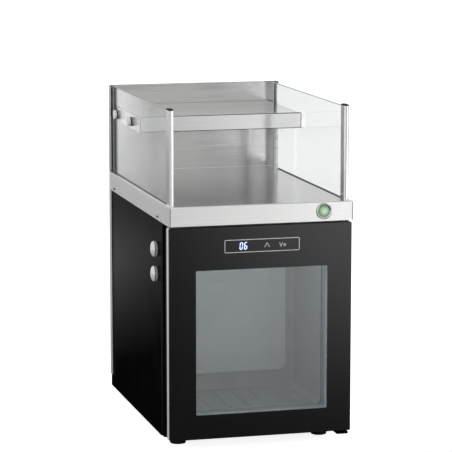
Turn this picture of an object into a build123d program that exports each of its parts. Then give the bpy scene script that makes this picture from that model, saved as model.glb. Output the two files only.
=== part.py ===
from build123d import *
from math import asin, atan, cos, degrees, sin
import os

os.makedirs("parts", exist_ok=True)

# Milk cooler with cup warmer. Millimetres, X to the right, Y to the back, Z up from the floor.

# Sheets, clearances and fasteners
sheet = 0.8  # painted and galvanised steel sheet
tray_sheet = 1.0  # stainless sheet of tray, shelf and rear wall
tray_bend = 2.0  # outer radius of the folded stainless edges
tray_seam = 0.8  # open seam beside each front corner of the tray, where its folds meet
sheet_bend = 1.2  # outer radius of the folded steel edges
slip = 0.3  # gap between neighbouring pieces
running = 0.05  # radial clearance of a turning pin or shaft
screw_head_radius = 3.5
screw_head_height = 2.0
screw_radius = 2.0
screw_length = 7.0
small_head_radius = 2.6
small_head_height = 1.4
small_screw_radius = 1.4
small_screw_length = 6.0
screw_sides = 8  # sides of screw heads and of the holes for small fasteners
shank_sides = 6
round_sides = 20  # sides of feet, washers and other small round pieces
pipe_sides = 6
pot_sides = 28
dome_steps = 3  # flats along the crown of a domed piece

# Overall form
tray_width = 292.0
tray_depth = 432.0
tray_height = 30.0
skirt_lap = 13.5  # height of shell covered by the tray skirt
foot_height = 16.5
switch_proud = 4.0  # push button in front of the tray

cabinet_width = tray_width - 2 * (tray_sheet + slip)
inside_width = cabinet_width - 2 * sheet
front_y = -(tray_depth - switch_proud) / 2
back_y = front_y + tray_depth
base_z = foot_height

# Cooling chamber: its height sets the cabinet's
chamber_width = 224.0
chamber_height = 268.0
chamber_depth = 140.0  # behind the front frame
chamber_lift = 35.5  # chamber floor above the cabinet's lower edge
chamber_corner = 10.0
liner_wall = 1.5
liner_flange = 12.0
foam_back = 34.0
foam_roof = 30.0
roof_space = 15.5  # wiring space between the foam and the roof

chamber_floor = base_z + chamber_lift
chamber_top = chamber_floor + chamber_height
chamber_mid = (chamber_floor + chamber_top) / 2
foam_top = chamber_top + liner_wall + foam_roof
roof_z = foam_top + roof_space
cabinet_height = roof_z - base_z  # painted shell, bottom edge to roof
tray_bottom = roof_z - skirt_lap
tray_top = tray_bottom + tray_height

# Door
door_setback = 5.3  # door glass behind the tray front
door_inset = 1.0  # door edge in from the tray's side
door_gap_top = 3.4
door_gap_bottom = 3.8
door_corner = 4.0
glass_arris = 0.5  # ground edge of the panes
door_glass = 4.0
print_thickness = 0.2
edge_frame_depth = 19.0  # aluminium edge frame, front to back
edge_frame_rail = 14.0
inner_frame_depth = 13.0
inner_frame_inset = 1.5
inner_frame_corner = 8.0
spacer_depth = 12.0
spacer_width = 7.0
inner_pane = 4.0
pane_lap = 4.0  # inner pane beyond the spacer
window_left = 42.0  # clear window in from the door's left and right edges
window_right = 39.0
window_rise = 42.0  # above the cabinet's lower edge
window_drop = 66.6  # below the door's top edge
bead_width = 11.0
bead_reveal = 1.0
gasket_depth = 7.8
gasket_width = 10.0
gasket_fold = 4.0  # width of the bellows between the gasket's two heads
gasket_head = 2.6
gasket_overlap = 4.0  # gasket clear of the chamber opening
display_width = 126.0
display_height = 26.0
display_depth = 14.0
display_drop = 30.7  # display centre below the door's top edge
display_board = 1.6
hinge_inset = 7.0  # hinge axis from the door's right edge
hinge_pin_radius = 3.0
hinge_pin_reach = 12.0  # pin engaged in the door
bush_wall = 1.6
bush_flange = 0.5
bush_flange_radius = 5.6

door_width = tray_width - 2 * door_inset
door_bottom = base_z + door_gap_bottom
door_top = tray_bottom - door_gap_top
door_height = door_top - door_bottom
door_mid = (door_top + door_bottom) / 2
door_face = front_y + door_setback
print_face = door_face + door_glass
edge_frame_face = print_face + print_thickness
inner_frame_face = edge_frame_face + edge_frame_depth
inner_frame_back = inner_frame_face + inner_frame_depth
gasket_back = inner_frame_back + gasket_depth
inner_pane_face = edge_frame_face + spacer_depth
hinge_x = door_width / 2 - hinge_inset
hinge_y = edge_frame_face + edge_frame_depth / 2
bush_radius = hinge_pin_radius + running + bush_wall
window_width = door_width - window_left - window_right
window_offset = (window_left - window_right) / 2  # window and display sit right of the middle
window_bottom = base_z + window_rise
window_height = door_top - window_drop - window_bottom
window_centre = (window_offset, window_bottom + window_height / 2)
display_z = door_top - display_drop

# Cabinet and what stands in the chamber
front_frame_depth = 12.0
front_frame_corner = 3.0
rib_count = 7
rib_pitch = 30.0
rib_width = 4.0
rib_height = 2.0
rib_setback = 14.0
bottom_flange = 10.0  # shell folded under the base pan
rear_flange = 14.0
pan_sheet = 1.0
pan_rim = 14.0
lower_plate = 3.0  # hinge bracket plates
upper_plate = 2.0
hinge_plate_width = 19.0
hinge_plate_nose = 8.0
hinge_screw_spread = 10.0
light_length = 176.0
light_depth = 13.0
light_height = 7.0
light_setback = 14.0
sensor_radius = 2.5
sensor_length = 26.0
sensor_clip = 9.0
evaporator_width = 186.0
evaporator_height = 208.0
evaporator_plate_thickness = 2.0
evaporator_standoff = 6.0
channel_runs = 5
channel_width = 9.0
channel_bulge = 1.5
channel_margin = 22.0
channel_bend = 18.0

cabinet_face = gasket_back + slip
shell_front = cabinet_face + front_frame_depth
shell_back = back_y - tray_sheet - slip
chamber_back = shell_front + chamber_depth
foam_front = shell_front + liner_wall
foam_rear = chamber_back + liner_wall + foam_back
pan_bottom = base_z + sheet
pan_top = pan_bottom + pan_sheet
pan_width = inside_width - 2 * slip
pan_back = shell_back - sheet - slip
frame_top = tray_bottom - upper_plate - slip

# Hose outlets on the left side
hose_setback = 90.0  # behind the tray front
hose_drop = 77.0  # upper outlet below the tray surface
hose_pitch = 39.0
hose_bore_radius = 5.0
hose_bush_wall = 2.0
hose_flange_radius = 10.0
hose_flange = 1.5
plug_radius = 12.0
plug_rim = 2.2
plug_crown = 5.1
plug_stem = 18.0

hose_y = front_y + hose_setback
hose_zs = (tray_top - hose_drop, tray_top - hose_drop - hose_pitch)
hose_centres = [(hose_y, z) for z in hose_zs]
hose_bush_radius = hose_bore_radius + hose_bush_wall
hose_seat = -cabinet_width / 2 - hose_flange - slip

# Feet
foot_radius = 12.5
foot_top_radius = 11.0
foot_spread = 230.0
front_foot_setback = 76.0  # behind the tray front
rear_foot_inset = 62.0  # in front of the tray's back
foot_recess_radius = 6.0
foot_recess = 9.0

foot_spots = [(x, y) for x in (-foot_spread / 2, foot_spread / 2)
              for y in (front_y + front_foot_setback, back_y - rear_foot_inset)]

# Cup warmer
tray_screw_setback = 76.0  # front screw behind the tray front
tray_screw_inset = 43.0  # rear screw in front of the tray's back
tray_screw_rise = 7.0  # above the skirt's lower edge
base_plate_rise = 1.5
base_plate_rim = 6.0
mat_thickness = 1.5
mat_margin = 22.0
thermostat_radius = 8.0
thermostat_height = 8.0
wall_height = 145.0
wall_flange = 16.0
glass = 4.0
glass_inset = 7.5  # middle of the glass in from the tray's side
glass_drop = 1.5  # glass edge below the rear wall's top
post_width = 7.4
post_depth = 20.5
post_setback = 12.8
post_wall = 1.4
post_cap = 2.0
post_screw_rise = 7.0
rear_channel_depth = 22.0
seal_width = 8.0
seal_height = 2.4
seal_base = 1.0
shelf_height = 25.3
shelf_rise = 86.3  # underside of the shelf above the tray
shelf_setback = 238.0
shelf_gap = 3.3  # shelf side to glass
fixing_setback = 51.0  # front fixing behind the shelf front
fixing_inset = 38.0  # rear fixing in front of the tray's back
fixing_radius = 7.6
fixing_head = 4.0
fixing_washer = 0.8
stud_radius = 3.0
stud_reach = 11.0  # stud inside the shelf
glass_hole_radius = 4.5
nut_radius = 5.5
nut_height = 5.0
conduit_radius = 4.0
conduit_wall = 0.8
conduit_inset = 17.9  # in from the glass
conduit_back = 92.0  # in front of the tray's back
conduit_lap = 5.0  # conduit inside the tray and the shelf

wall_top = tray_top + wall_height
wall_face = back_y - tray_sheet
glass_x = tray_width / 2 - glass_inset
glass_slot = glass + 2 * slip
post_front = front_y + post_setback
post_back = post_front + post_depth
glass_front = post_front + post_width / 2 + post_wall
channel_front = wall_face - rear_channel_depth
glass_back = wall_face - post_wall - slip
glass_bottom = tray_top + seal_base + slip
glass_top = wall_top - glass_drop
shelf_width = 2 * (glass_x - glass / 2 - shelf_gap)
shelf_bottom = tray_top + shelf_rise
shelf_top = shelf_bottom + shelf_height
shelf_mid = (shelf_bottom + shelf_top) / 2
shelf_front = front_y + shelf_setback
shelf_back = wall_face - slip
shelf_middle = (0, (shelf_front + shelf_back) / 2)
shelf_depth = shelf_back - shelf_front
fixing_spots = [(y, shelf_mid) for y in (shelf_front + fixing_setback, back_y - fixing_inset)]
conduit_spot = (glass_x - glass / 2 - conduit_inset, back_y - conduit_back)
tray_screw_z = tray_bottom + tray_screw_rise
tray_screw_spots = [(y, tray_screw_z) for y in (front_y + tray_screw_setback, back_y - tray_screw_inset)]
base_plate_z = tray_bottom + base_plate_rise
mat_z = tray_top - tray_sheet - mat_thickness

# Push button
switch_inset = 47.5  # in from the tray's right side
switch_drop = 14.4  # below the tray surface
switch_bezel_radius = 12.5
switch_bezel = 2.0
switch_barrel_radius = 10.7
switch_barrel = 27.0
button_radius = 8.75
button_gap = 0.25
button_stem_radius = 4.0
button_skirt = 3.0
button_travel = 2.0
button_stem = 3.0  # stem in its guide

switch_x = tray_width / 2 - switch_inset
switch_centre = (switch_x, tray_top - switch_drop)

# Refrigeration machine behind the chamber
compressor_x = -74.0
compressor_radius = 50.0
compressor_height = 132.0
compressor_crown = 34.0
compressor_seam = 58.0
compressor_lip = 3.5
compressor_plate = 3.0
compressor_plate_width = 116.0
compressor_plate_depth = 104.0
grommet_height = 10.0
grommet_radius = 9.0
grommet_neck = 4.5
grommet_inset = 13.0
terminal_width = 44.0
terminal_height = 40.0
terminal_reach = 8.0
stub_radius = 4.5
stub_reach = 9.0
stub_rise = 92.0
pipe_radius = 3.0
capillary_radius = 1.5
pipe_bend = 7.0
pipe_corridor = 6.0  # pipes left of the condenser
fan_x = 70.0
fan_z = 185.0
fan_size = 120.0
fan_depth = 25.0
fan_corner = 6.0
fan_bore_radius = 56.0
fan_hole_pitch = 105.0
fan_hole_radius = 2.2
fan_strut = 3.0
fan_strut_width = 5.0
fan_struts = 4
fan_strut_turn = 45.0
fan_hub_radius = 22.0
fan_hub_wall = 3.0
fan_hub_length = 16.0
fan_motor_radius = 15.0
fan_motor_length = 10.0
fan_shaft_radius = 2.0
fan_blades = 7
fan_tip_gap = 1.5
blade_thickness = 1.8
blade_chord = 22.0
blade_pitch = 38.0
blade_camber = 2.5
fan_float = 1.0  # rotor clear of the motor seat
cover_gap = 6.0  # fan frame in front of the shell's rear flange
condenser_depth = 34.0
condenser_length = 92.0
condenser_passes = 4
condenser_pitch = 26.0
condenser_tube_radius = 3.5
condenser_lead = 6.0
fin_count = 10
fin_thickness = 0.6
fin_height = 112.0
end_plate = 1.2
end_plate_flange = 14.0
drier_radius = 9.0
drier_neck = 12.0
drier_length = 70.0
drier_setback = 34.0  # in front of the shell's rear edge
drier_drop = 20.0
capillary_rise = 22.0
suction_rise = 76.0
control_x = -70.0
control_drop = 32.0  # below the foam's top
control_width = 92.0
control_height = 84.0
control_depth = 34.0
control_lip = 3.0
control_lid = 4.0
inlet_inset = 42.0  # in from the tray's left side
inlet_flange_width = 48.0
inlet_flange_height = 30.0
inlet_flange = 1.8
inlet_width = 28.0
inlet_height = 22.0
inlet_depth = 22.0
inlet_wall = 2.5
inlet_recess = 15.0
inlet_pin_pitch = 7.0
cover_foot = 20.0  # rear covers above the cabinet's lower edge
cover_seam = 97.0  # joint of the two covers above the cabinet's lower edge
cover_flange = 16.0
vent_x = -62.0
vent_rows = 9
vent_pitch = 13.0
vent_length = 78.0
vent_height = 5.0
vent_drop = 82.0  # middle of the vents below the tray
grille_bars = 9

compressor_y = (foam_rear + shell_back) / 2
plate_z = pan_top + grommet_height
dome_z = plate_z + compressor_plate
stub_z = plate_z + stub_rise
fan_back = shell_back - sheet - cover_gap
fan_front = fan_back - fan_depth
condenser_y = fan_front - end_plate - condenser_depth / 2
pass_zs = [fan_z + condenser_pitch * ((condenser_passes - 1) / 2 - n) for n in range(condenser_passes)]
pass_half = condenser_length / 2 + end_plate + condenser_lead
corridor_x = fan_x - pass_half - condenser_pitch / 2 - pipe_corridor
drier_y = shell_back - drier_setback
drier_top = pass_zs[-1] - drier_drop
control_z = foam_top - control_drop - control_height / 2
inlet_x = inlet_inset - tray_width / 2
inlet_z = base_z + (cover_foot + cover_seam) / 2
cover_bottom = base_z + cover_foot
cover_joint = base_z + cover_seam
cover_top = tray_bottom - slip


def facing_front(y):
    """Sketch plane at depth y, X to the right and Z up. Negative heights run backwards."""
    return Plane.XZ.offset(-y)


def facing_side(x):
    """Sketch plane at x, Y to the right and Z up. Positive heights run to the right."""
    return Plane.YZ.offset(x)


def save(piece, name):
    """Label a finished piece and write it."""
    piece.part.label = name
    export_step(piece.part, f"parts/{name}.step")


def screw(seat, head_radius, head_height, shank_radius, shank_length, sides=screw_sides):
    """Pan head screw: the head stands on the seat plane and the shank runs below it."""
    with BuildPart() as piece:
        with BuildSketch(seat):
            RegularPolygon(head_radius, sides)
        extrude(amount=head_height)
        crown = piece.faces().sort_by(Axis(seat.origin, seat.z_dir))[-1]
        chamfer(crown.edges(), head_height / 2)
        with BuildSketch(seat):
            RegularPolygon(shank_radius, shank_sides)
        extrude(amount=-shank_length)
    return piece.part


def dome(radius, height, base):
    """Points along a spherical cap, from its rim at the base height up to its middle."""
    sphere = (radius ** 2 + height ** 2) / (2 * height)
    turn = asin(radius / sphere)
    steps = [turn * (1 - n / dome_steps) for n in range(dome_steps + 1)]
    return [(sphere * sin(angle), base + height - sphere * (1 - cos(angle))) for angle in steps]


def side_seat(side, x, y, z):
    """Screw seat on an upright face that looks to the left (-1) or the right (1)."""
    return Plane(origin=(side * x, y, z), x_dir=(0, 1, 0), z_dir=(side, 0, 0))


# Cabinet shell: one wrap of painted sheet, folded in under the base and at the rear
shell_depth = shell_back - shell_front
with BuildPart() as cabinet_shell:
    with BuildSketch(Plane.XY.offset(base_z)) as shell_plan:
        with Locations((0, shell_front)):
            Rectangle(cabinet_width, shell_depth, align=(Align.CENTER, Align.MIN))
        fillet(shell_plan.vertices().group_by(Axis.Y)[-1], sheet_bend)
    extrude(amount=cabinet_height)
    with BuildSketch(facing_front(shell_front)):
        with Locations((0, base_z + sheet)):
            Rectangle(inside_width, cabinet_height - 2 * sheet, align=(Align.CENTER, Align.MIN))
    extrude(amount=sheet - shell_depth, mode=Mode.SUBTRACT)
    with BuildSketch(Plane.XY.offset(base_z)):
        with Locations((0, shell_front)):
            Rectangle(inside_width - 2 * bottom_flange, shell_depth, align=(Align.CENTER, Align.MIN))
    extrude(amount=sheet, mode=Mode.SUBTRACT)
    with BuildSketch(facing_front(shell_back)):
        with Locations((0, base_z)):
            Rectangle(cabinet_width - 2 * rear_flange, cabinet_height - sheet,
                      align=(Align.CENTER, Align.MIN))
    extrude(amount=sheet, mode=Mode.SUBTRACT)
    with BuildSketch(facing_side(-cabinet_width / 2)):
        with Locations(*hose_centres):
            RegularPolygon(hose_bush_radius + slip, round_sides)
    extrude(amount=sheet, mode=Mode.SUBTRACT)
    for side in (-1, 1):
        with BuildSketch(facing_side(side * (cabinet_width - sheet) / 2)):
            with Locations(*tray_screw_spots):
                RegularPolygon(screw_radius + slip, screw_sides)
        extrude(amount=sheet, both=True, mode=Mode.SUBTRACT)
save(cabinet_shell, "cabinet_shell")

# Base pan: floor of the cabinet with turned-up rims and air slots under the compressor
with BuildPart() as base_pan:
    with BuildSketch(facing_front(shell_front)):
        with Locations((0, pan_bottom)):
            Rectangle(pan_width, pan_rim, align=(Align.CENTER, Align.MIN))
        with Locations((0, pan_top)):
            Rectangle(pan_width - 2 * pan_sheet, pan_rim, align=(Align.CENTER, Align.MIN), mode=Mode.SUBTRACT)
    extrude(amount=shell_front - pan_back)
    with BuildSketch(facing_front(pan_back)):
        with Locations((0, pan_bottom)):
            Rectangle(pan_width - 2 * pan_sheet, cover_foot, align=(Align.CENTER, Align.MIN))
    extrude(amount=pan_sheet)
    with BuildSketch(Plane.XY.offset(pan_bottom)):
        with Locations(*foot_spots):
            RegularPolygon(screw_radius + slip, screw_sides)
        with Locations((compressor_x, compressor_y)):
            with GridLocations(vent_pitch, 1, 4, 1):
                Rectangle(vent_height, compressor_plate_depth / 2)
    extrude(amount=pan_sheet, mode=Mode.SUBTRACT)
save(base_pan, "base_pan")

# Front frame: moulded frame round the chamber mouth on which the door gasket lands
with BuildPart() as front_frame:
    with BuildSketch(facing_front(cabinet_face)):
        with Locations((0, (base_z + frame_top) / 2)):
            RectangleRounded(cabinet_width, frame_top - base_z, front_frame_corner)
        with Locations((0, chamber_mid)):
            RectangleRounded(chamber_width, chamber_height, chamber_corner, mode=Mode.SUBTRACT)
    extrude(amount=-front_frame_depth)
    landing = front_frame.faces().sort_by(Axis.Y)[0]
    chamfer(landing.inner_wires()[0].edges(), liner_wall)
    with BuildSketch(Plane.XY.offset(base_z)):
        with Locations((hinge_x - hinge_inset / 2, (cabinet_face + shell_front) / 2)):
            with GridLocations(hinge_screw_spread, 1, 2, 1):
                RegularPolygon(small_screw_radius + slip, screw_sides)
    extrude(amount=small_screw_length + slip, mode=Mode.SUBTRACT)
    with BuildSketch(Plane.XY.offset(frame_top)):
        with Locations((hinge_x - hinge_inset / 2, (cabinet_face + shell_front) / 2)):
            with GridLocations(hinge_screw_spread, 1, 2, 1):
                RegularPolygon(small_screw_radius + slip, screw_sides)
    extrude(amount=-small_screw_length - slip, mode=Mode.SUBTRACT)
save(front_frame, "front_frame")

# Chamber liner: vacuum-formed box with a front flange, carrier ribs on the floor and two hose holes
with BuildPart() as inner_liner:
    with BuildSketch(facing_front(shell_front)):
        with Locations((0, chamber_mid)):
            RectangleRounded(chamber_width + 2 * liner_flange, chamber_height + 2 * liner_flange,
                             chamber_corner)
    extrude(amount=-liner_wall)
    with BuildSketch(facing_front(shell_front)):
        with Locations((0, chamber_mid)):
            RectangleRounded(chamber_width + 2 * liner_wall, chamber_height + 2 * liner_wall,
                             chamber_corner + liner_wall)
    extrude(amount=-(chamber_depth + liner_wall))
    with BuildSketch(facing_front(shell_front)):
        with Locations((0, chamber_mid)):
            RectangleRounded(chamber_width, chamber_height, chamber_corner)
    extrude(amount=-chamber_depth, mode=Mode.SUBTRACT)
    with BuildSketch(Plane.XY.offset(chamber_floor)):
        with Locations((0, shell_front + chamber_depth / 2)):
            with GridLocations(rib_pitch, 1, rib_count, 1):
                Rectangle(rib_width, chamber_depth - 2 * rib_setback)
    extrude(amount=rib_height)
    with BuildSketch(facing_side(-chamber_width / 2)):
        with Locations(*hose_centres):
            RegularPolygon(hose_bush_radius + slip, round_sides)
    extrude(amount=-liner_wall, mode=Mode.SUBTRACT)
save(inner_liner, "inner_liner")

# Insulation: foam block between shell and liner
with BuildPart() as insulation_foam:
    with BuildSketch(facing_front(foam_front)):
        with Locations((0, pan_top)):
            Rectangle(pan_width - 2 * (pan_sheet + slip), foam_top - pan_top, align=(Align.CENTER, Align.MIN))
    extrude(amount=foam_front - foam_rear)
    with BuildSketch(facing_front(foam_front)):
        with Locations((0, chamber_mid)):
            RectangleRounded(chamber_width + 2 * (liner_wall + slip),
                             chamber_height + 2 * (liner_wall + slip), chamber_corner + liner_wall)
    extrude(amount=-chamber_depth, mode=Mode.SUBTRACT)
    with BuildSketch(facing_side(-cabinet_width / 2)):
        with Locations(*hose_centres):
            RegularPolygon(hose_bush_radius + slip, round_sides)
    extrude(amount=(cabinet_width - chamber_width) / 2, mode=Mode.SUBTRACT)
save(insulation_foam, "insulation_foam")

# Hose bushes: flanged tubes through shell, foam and liner
with BuildPart() as hose_bushes:
    with BuildSketch(facing_side(-cabinet_width / 2)):
        with Locations(*hose_centres):
            RegularPolygon(hose_flange_radius, round_sides)
    extrude(amount=-hose_flange)
    with BuildSketch(facing_side(-cabinet_width / 2)):
        with Locations(*hose_centres):
            RegularPolygon(hose_bush_radius, round_sides)
    extrude(amount=(cabinet_width - chamber_width) / 2)
    with BuildSketch(facing_side(-cabinet_width / 2 - hose_flange)):
        with Locations(*hose_centres):
            Circle(hose_bore_radius)
    extrude(amount=hose_flange + (cabinet_width - chamber_width) / 2, mode=Mode.SUBTRACT)
save(hose_bushes, "hose_bushes")

# Hose plugs: turned caps with a domed face and a stem that pushes into the bush
for name, z in zip(("hose_plug_upper", "hose_plug_lower"), hose_zs):
    plug_plane = Plane(origin=(hose_seat, hose_y, z), x_dir=(0, 1, 0), z_dir=(0, 0, 1))
    with BuildPart() as hose_plug:
        with BuildSketch(plug_plane):
            with BuildLine():
                Polyline((0, -plug_stem), (hose_bore_radius - running, -plug_stem),
                         (hose_bore_radius - running, 0), (plug_radius, 0),
                         *dome(plug_radius, plug_crown, plug_rim), close=True)
            make_face()
        revolve(axis=Axis((0, hose_y, z), (1, 0, 0)))
    save(hose_plug, name)

# Evaporator: roll-bonded plate with a raised refrigerant channel, on four stand-offs
evaporator_face = chamber_back - evaporator_standoff - evaporator_plate_thickness
channel_reach = evaporator_width / 2 - channel_margin
channel_step = (evaporator_height - 2 * channel_margin) / (channel_runs - 1)
channel_points = []
for run in range(channel_runs):
    run_z = chamber_mid + evaporator_height / 2 - channel_margin - run * channel_step
    ends = (-channel_reach, channel_reach) if run % 2 == 0 else (channel_reach, -channel_reach)
    channel_points += [(ends[0], run_z), (ends[1], run_z)]
with BuildPart() as evaporator_plate:
    with BuildSketch(facing_front(evaporator_face)):
        with Locations((0, chamber_mid)):
            RectangleRounded(evaporator_width, evaporator_height, chamber_corner)
    extrude(amount=-evaporator_plate_thickness)
    with BuildSketch(facing_front(evaporator_face)):
        with BuildLine():
            FilletPolyline(*channel_points, radius=channel_bend)
        trace(line_width=channel_width)
    extrude(amount=channel_bulge)
    with BuildSketch(facing_front(chamber_back)):
        with Locations((0, chamber_mid)):
            with GridLocations(evaporator_width - channel_margin, evaporator_height - channel_margin, 2, 2):
                Rectangle(channel_width, channel_width)
    extrude(amount=evaporator_standoff)
save(evaporator_plate, "evaporator_plate")

# Light bar under the chamber roof and the sensor clipped beside it
with BuildPart() as led_light_bar:
    with BuildSketch(facing_side(-light_length / 2)):
        with Locations((shell_front + light_setback, chamber_top)):
            Rectangle(light_depth, light_height, align=(Align.CENTER, Align.MAX))
    extrude(amount=light_length)
    fillet(led_light_bar.edges().filter_by(Axis.X).group_by(Axis.Z)[0], light_height / 3)
save(led_light_bar, "led_light_bar")

sensor_y = chamber_back - evaporator_standoff - 4 * sensor_clip
with BuildPart() as temperature_sensor:
    with Locations((channel_reach, sensor_y, chamber_top)):
        Box(sensor_clip, sensor_clip, sensor_clip, align=(Align.CENTER, Align.CENTER, Align.MAX))
    with BuildSketch(facing_side(channel_reach - sensor_length / 2)):
        with Locations((sensor_y, chamber_top - sensor_clip / 2)):
            Circle(sensor_radius)
    extrude(amount=sensor_length)
save(temperature_sensor, "temperature_sensor")

# Feet and their screws
foot_taper = degrees(atan((foot_radius - foot_top_radius) / pan_bottom))
with BuildPart() as one_foot:
    with BuildSketch():
        RegularPolygon(foot_radius, round_sides)
    extrude(amount=pan_bottom, taper=foot_taper)
    with BuildSketch():
        RegularPolygon(foot_recess_radius, round_sides)
    extrude(amount=foot_recess, mode=Mode.SUBTRACT)
    with BuildSketch():
        RegularPolygon(screw_radius + slip, screw_sides)
    extrude(amount=pan_bottom, mode=Mode.SUBTRACT)
with BuildPart() as feet:
    with Locations(*foot_spots):
        add(one_foot.part)
save(feet, "feet")

with BuildPart() as foot_screws:
    for x, y in foot_spots:
        seat = Plane(origin=(x, y, foot_recess), x_dir=(1, 0, 0), z_dir=(0, 0, -1))
        add(screw(seat, screw_head_radius, screw_head_height, screw_radius, pan_top - foot_recess))
save(foot_screws, "foot_screws")

# Hinge brackets: plates on the front frame with a riveted pin each
bracket_front = hinge_y - hinge_plate_nose
bracket_depth = shell_front - slip - bracket_front
bracket_middle = (hinge_x - hinge_inset / 2, bracket_front + bracket_depth / 2)
bracket_screws = (hinge_x - hinge_inset / 2, (cabinet_face + shell_front) / 2)
with BuildPart() as lower_hinge_bracket:
    with BuildSketch(Plane.XY.offset(base_z)):
        with Locations(bracket_middle):
            RectangleRounded(hinge_plate_width, bracket_depth, front_frame_corner)
        with Locations(bracket_screws):
            with GridLocations(hinge_screw_spread, 1, 2, 1):
                RegularPolygon(small_screw_radius + slip, screw_sides, mode=Mode.SUBTRACT)
    extrude(amount=-lower_plate)
    with BuildSketch(Plane.XY.offset(base_z)):
        with Locations((hinge_x, hinge_y)):
            Circle(bush_flange_radius)
    extrude(amount=door_gap_bottom - bush_flange - slip)
    with BuildSketch(Plane.XY.offset(base_z)):
        with Locations((hinge_x, hinge_y)):
            Circle(hinge_pin_radius)
    extrude(amount=door_gap_bottom + hinge_pin_reach)
save(lower_hinge_bracket, "lower_hinge_bracket")

with BuildPart() as upper_hinge_bracket:
    with BuildSketch(Plane.XY.offset(frame_top)):
        with Locations(bracket_middle):
            RectangleRounded(hinge_plate_width, bracket_depth, front_frame_corner)
        with Locations(bracket_screws):
            with GridLocations(hinge_screw_spread, 1, 2, 1):
                RegularPolygon(small_screw_radius + slip, screw_sides, mode=Mode.SUBTRACT)
    extrude(amount=upper_plate)
    with BuildSketch(Plane.XY.offset(frame_top)):
        with Locations((hinge_x, hinge_y)):
            Circle(hinge_pin_radius)
    extrude(amount=door_top - hinge_pin_reach - frame_top)
save(upper_hinge_bracket, "upper_hinge_bracket")

# Compressor: drawn steel pot with a welded seam, on a plate with rubber grommets
pot_sections = ((0, compressor_height, compressor_radius),
                (compressor_seam, compressor_lip, compressor_radius + compressor_lip))
with BuildPart() as compressor:
    with BuildSketch(Plane.XY.offset(plate_z)):
        with Locations((compressor_x, compressor_y)):
            RectangleRounded(compressor_plate_width, compressor_plate_depth, grommet_inset)
            with GridLocations(compressor_plate_width - 2 * grommet_inset,
                               compressor_plate_depth - 2 * grommet_inset, 2, 2):
                RegularPolygon(grommet_neck + slip, screw_sides, mode=Mode.SUBTRACT)
    extrude(amount=compressor_plate)
    for start, height, radius in pot_sections:
        with BuildSketch(Plane.XY.offset(dome_z + start)):
            with Locations((compressor_x, compressor_y)):
                RegularPolygon(radius, pot_sides)
        extrude(amount=height)
    for crown_cut in (compressor_crown / 2, compressor_crown / 4):
        chamfer(compressor.faces().sort_by(Axis.Z)[-1].edges(), crown_cut)
    with BuildSketch(facing_side(compressor_x)):
        with Locations((compressor_y, stub_z)):
            RegularPolygon(stub_radius, screw_sides)
    extrude(amount=compressor_radius + stub_reach)
    with BuildSketch(facing_front(compressor_y)):
        with Locations((compressor_x, stub_z)):
            RegularPolygon(stub_radius, screw_sides)
    extrude(amount=compressor_radius + stub_reach)
    with BuildSketch(facing_side(compressor_x)):
        with Locations((compressor_y, dome_z + compressor_seam - compressor_lip)):
            Rectangle(terminal_width, terminal_height, align=(Align.CENTER, Align.MAX))
    extrude(amount=-(compressor_radius + terminal_reach))
save(compressor, "compressor")

with BuildPart() as compressor_grommets:
    for height, radius in ((grommet_height, grommet_radius),
                           (grommet_height + compressor_plate + slip, grommet_neck)):
        with BuildSketch(Plane.XY.offset(pan_top)):
            with Locations((compressor_x, compressor_y)):
                with GridLocations(compressor_plate_width - 2 * grommet_inset,
                                   compressor_plate_depth - 2 * grommet_inset, 2, 2):
                    RegularPolygon(radius, screw_sides)
        extrude(amount=height)
save(compressor_grommets, "compressor_grommets")

# Condenser: serpentine tube through a pack of fins, between two end plates that stand on the pan
fin_middle = (condenser_y, fan_z)
with BuildPart() as condenser_fins:
    for n in range(fin_count):
        fin_x = fan_x - condenser_length / 2 + condenser_length * (n + 0.5) / fin_count
        with BuildSketch(facing_side(fin_x)):
            with Locations(fin_middle):
                Rectangle(condenser_depth, fin_height)
            with Locations(*[(condenser_y, z) for z in pass_zs]):
                Rectangle(2 * (condenser_tube_radius + running), 2 * (condenser_tube_radius + running),
                          mode=Mode.SUBTRACT)
        extrude(amount=fin_thickness)
    for side in (-1, 1):
        with BuildSketch(facing_side(fan_x + side * condenser_length / 2)):
            with Locations((fan_front - end_plate - condenser_depth, pan_top)):
                Rectangle(condenser_depth + end_plate, fan_z + fin_height / 2 - pan_top,
                          align=(Align.MIN, Align.MIN))
            with Locations(*[(condenser_y, z) for z in pass_zs]):
                Rectangle(2 * (condenser_tube_radius + running), 2 * (condenser_tube_radius + running),
                          mode=Mode.SUBTRACT)
        extrude(amount=side * end_plate)
        with BuildSketch(facing_front(fan_front)):
            with Locations((fan_x + side * (condenser_length / 2 + end_plate_flange / 2), fan_z)):
                Rectangle(end_plate_flange, fin_height)
        extrude(amount=end_plate)
save(condenser_fins, "condenser_fins")

with BuildPart() as condenser_tube:
    with BuildLine(facing_front(condenser_y)):
        Line((fan_x - pass_half - condenser_lead, pass_zs[0]), (fan_x - pass_half, pass_zs[0]))
        for n, z in enumerate(pass_zs):
            side = 1 if n % 2 == 0 else -1
            Line((fan_x - side * pass_half, z), (fan_x + side * pass_half, z))
            if n < condenser_passes - 1:
                bend_x = fan_x + side * pass_half
                ThreePointArc((bend_x, z), (bend_x + side * condenser_pitch / 2, z - condenser_pitch / 2),
                              (bend_x, z - condenser_pitch))
        Line((fan_x - pass_half, pass_zs[-1]), (fan_x - pass_half - condenser_lead, pass_zs[-1]))
    with BuildSketch(facing_side(fan_x - pass_half - condenser_lead)):
        with Locations((condenser_y, pass_zs[0])):
            RegularPolygon(condenser_tube_radius, pipe_sides)
    sweep()
save(condenser_tube, "condenser_tube")

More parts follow.
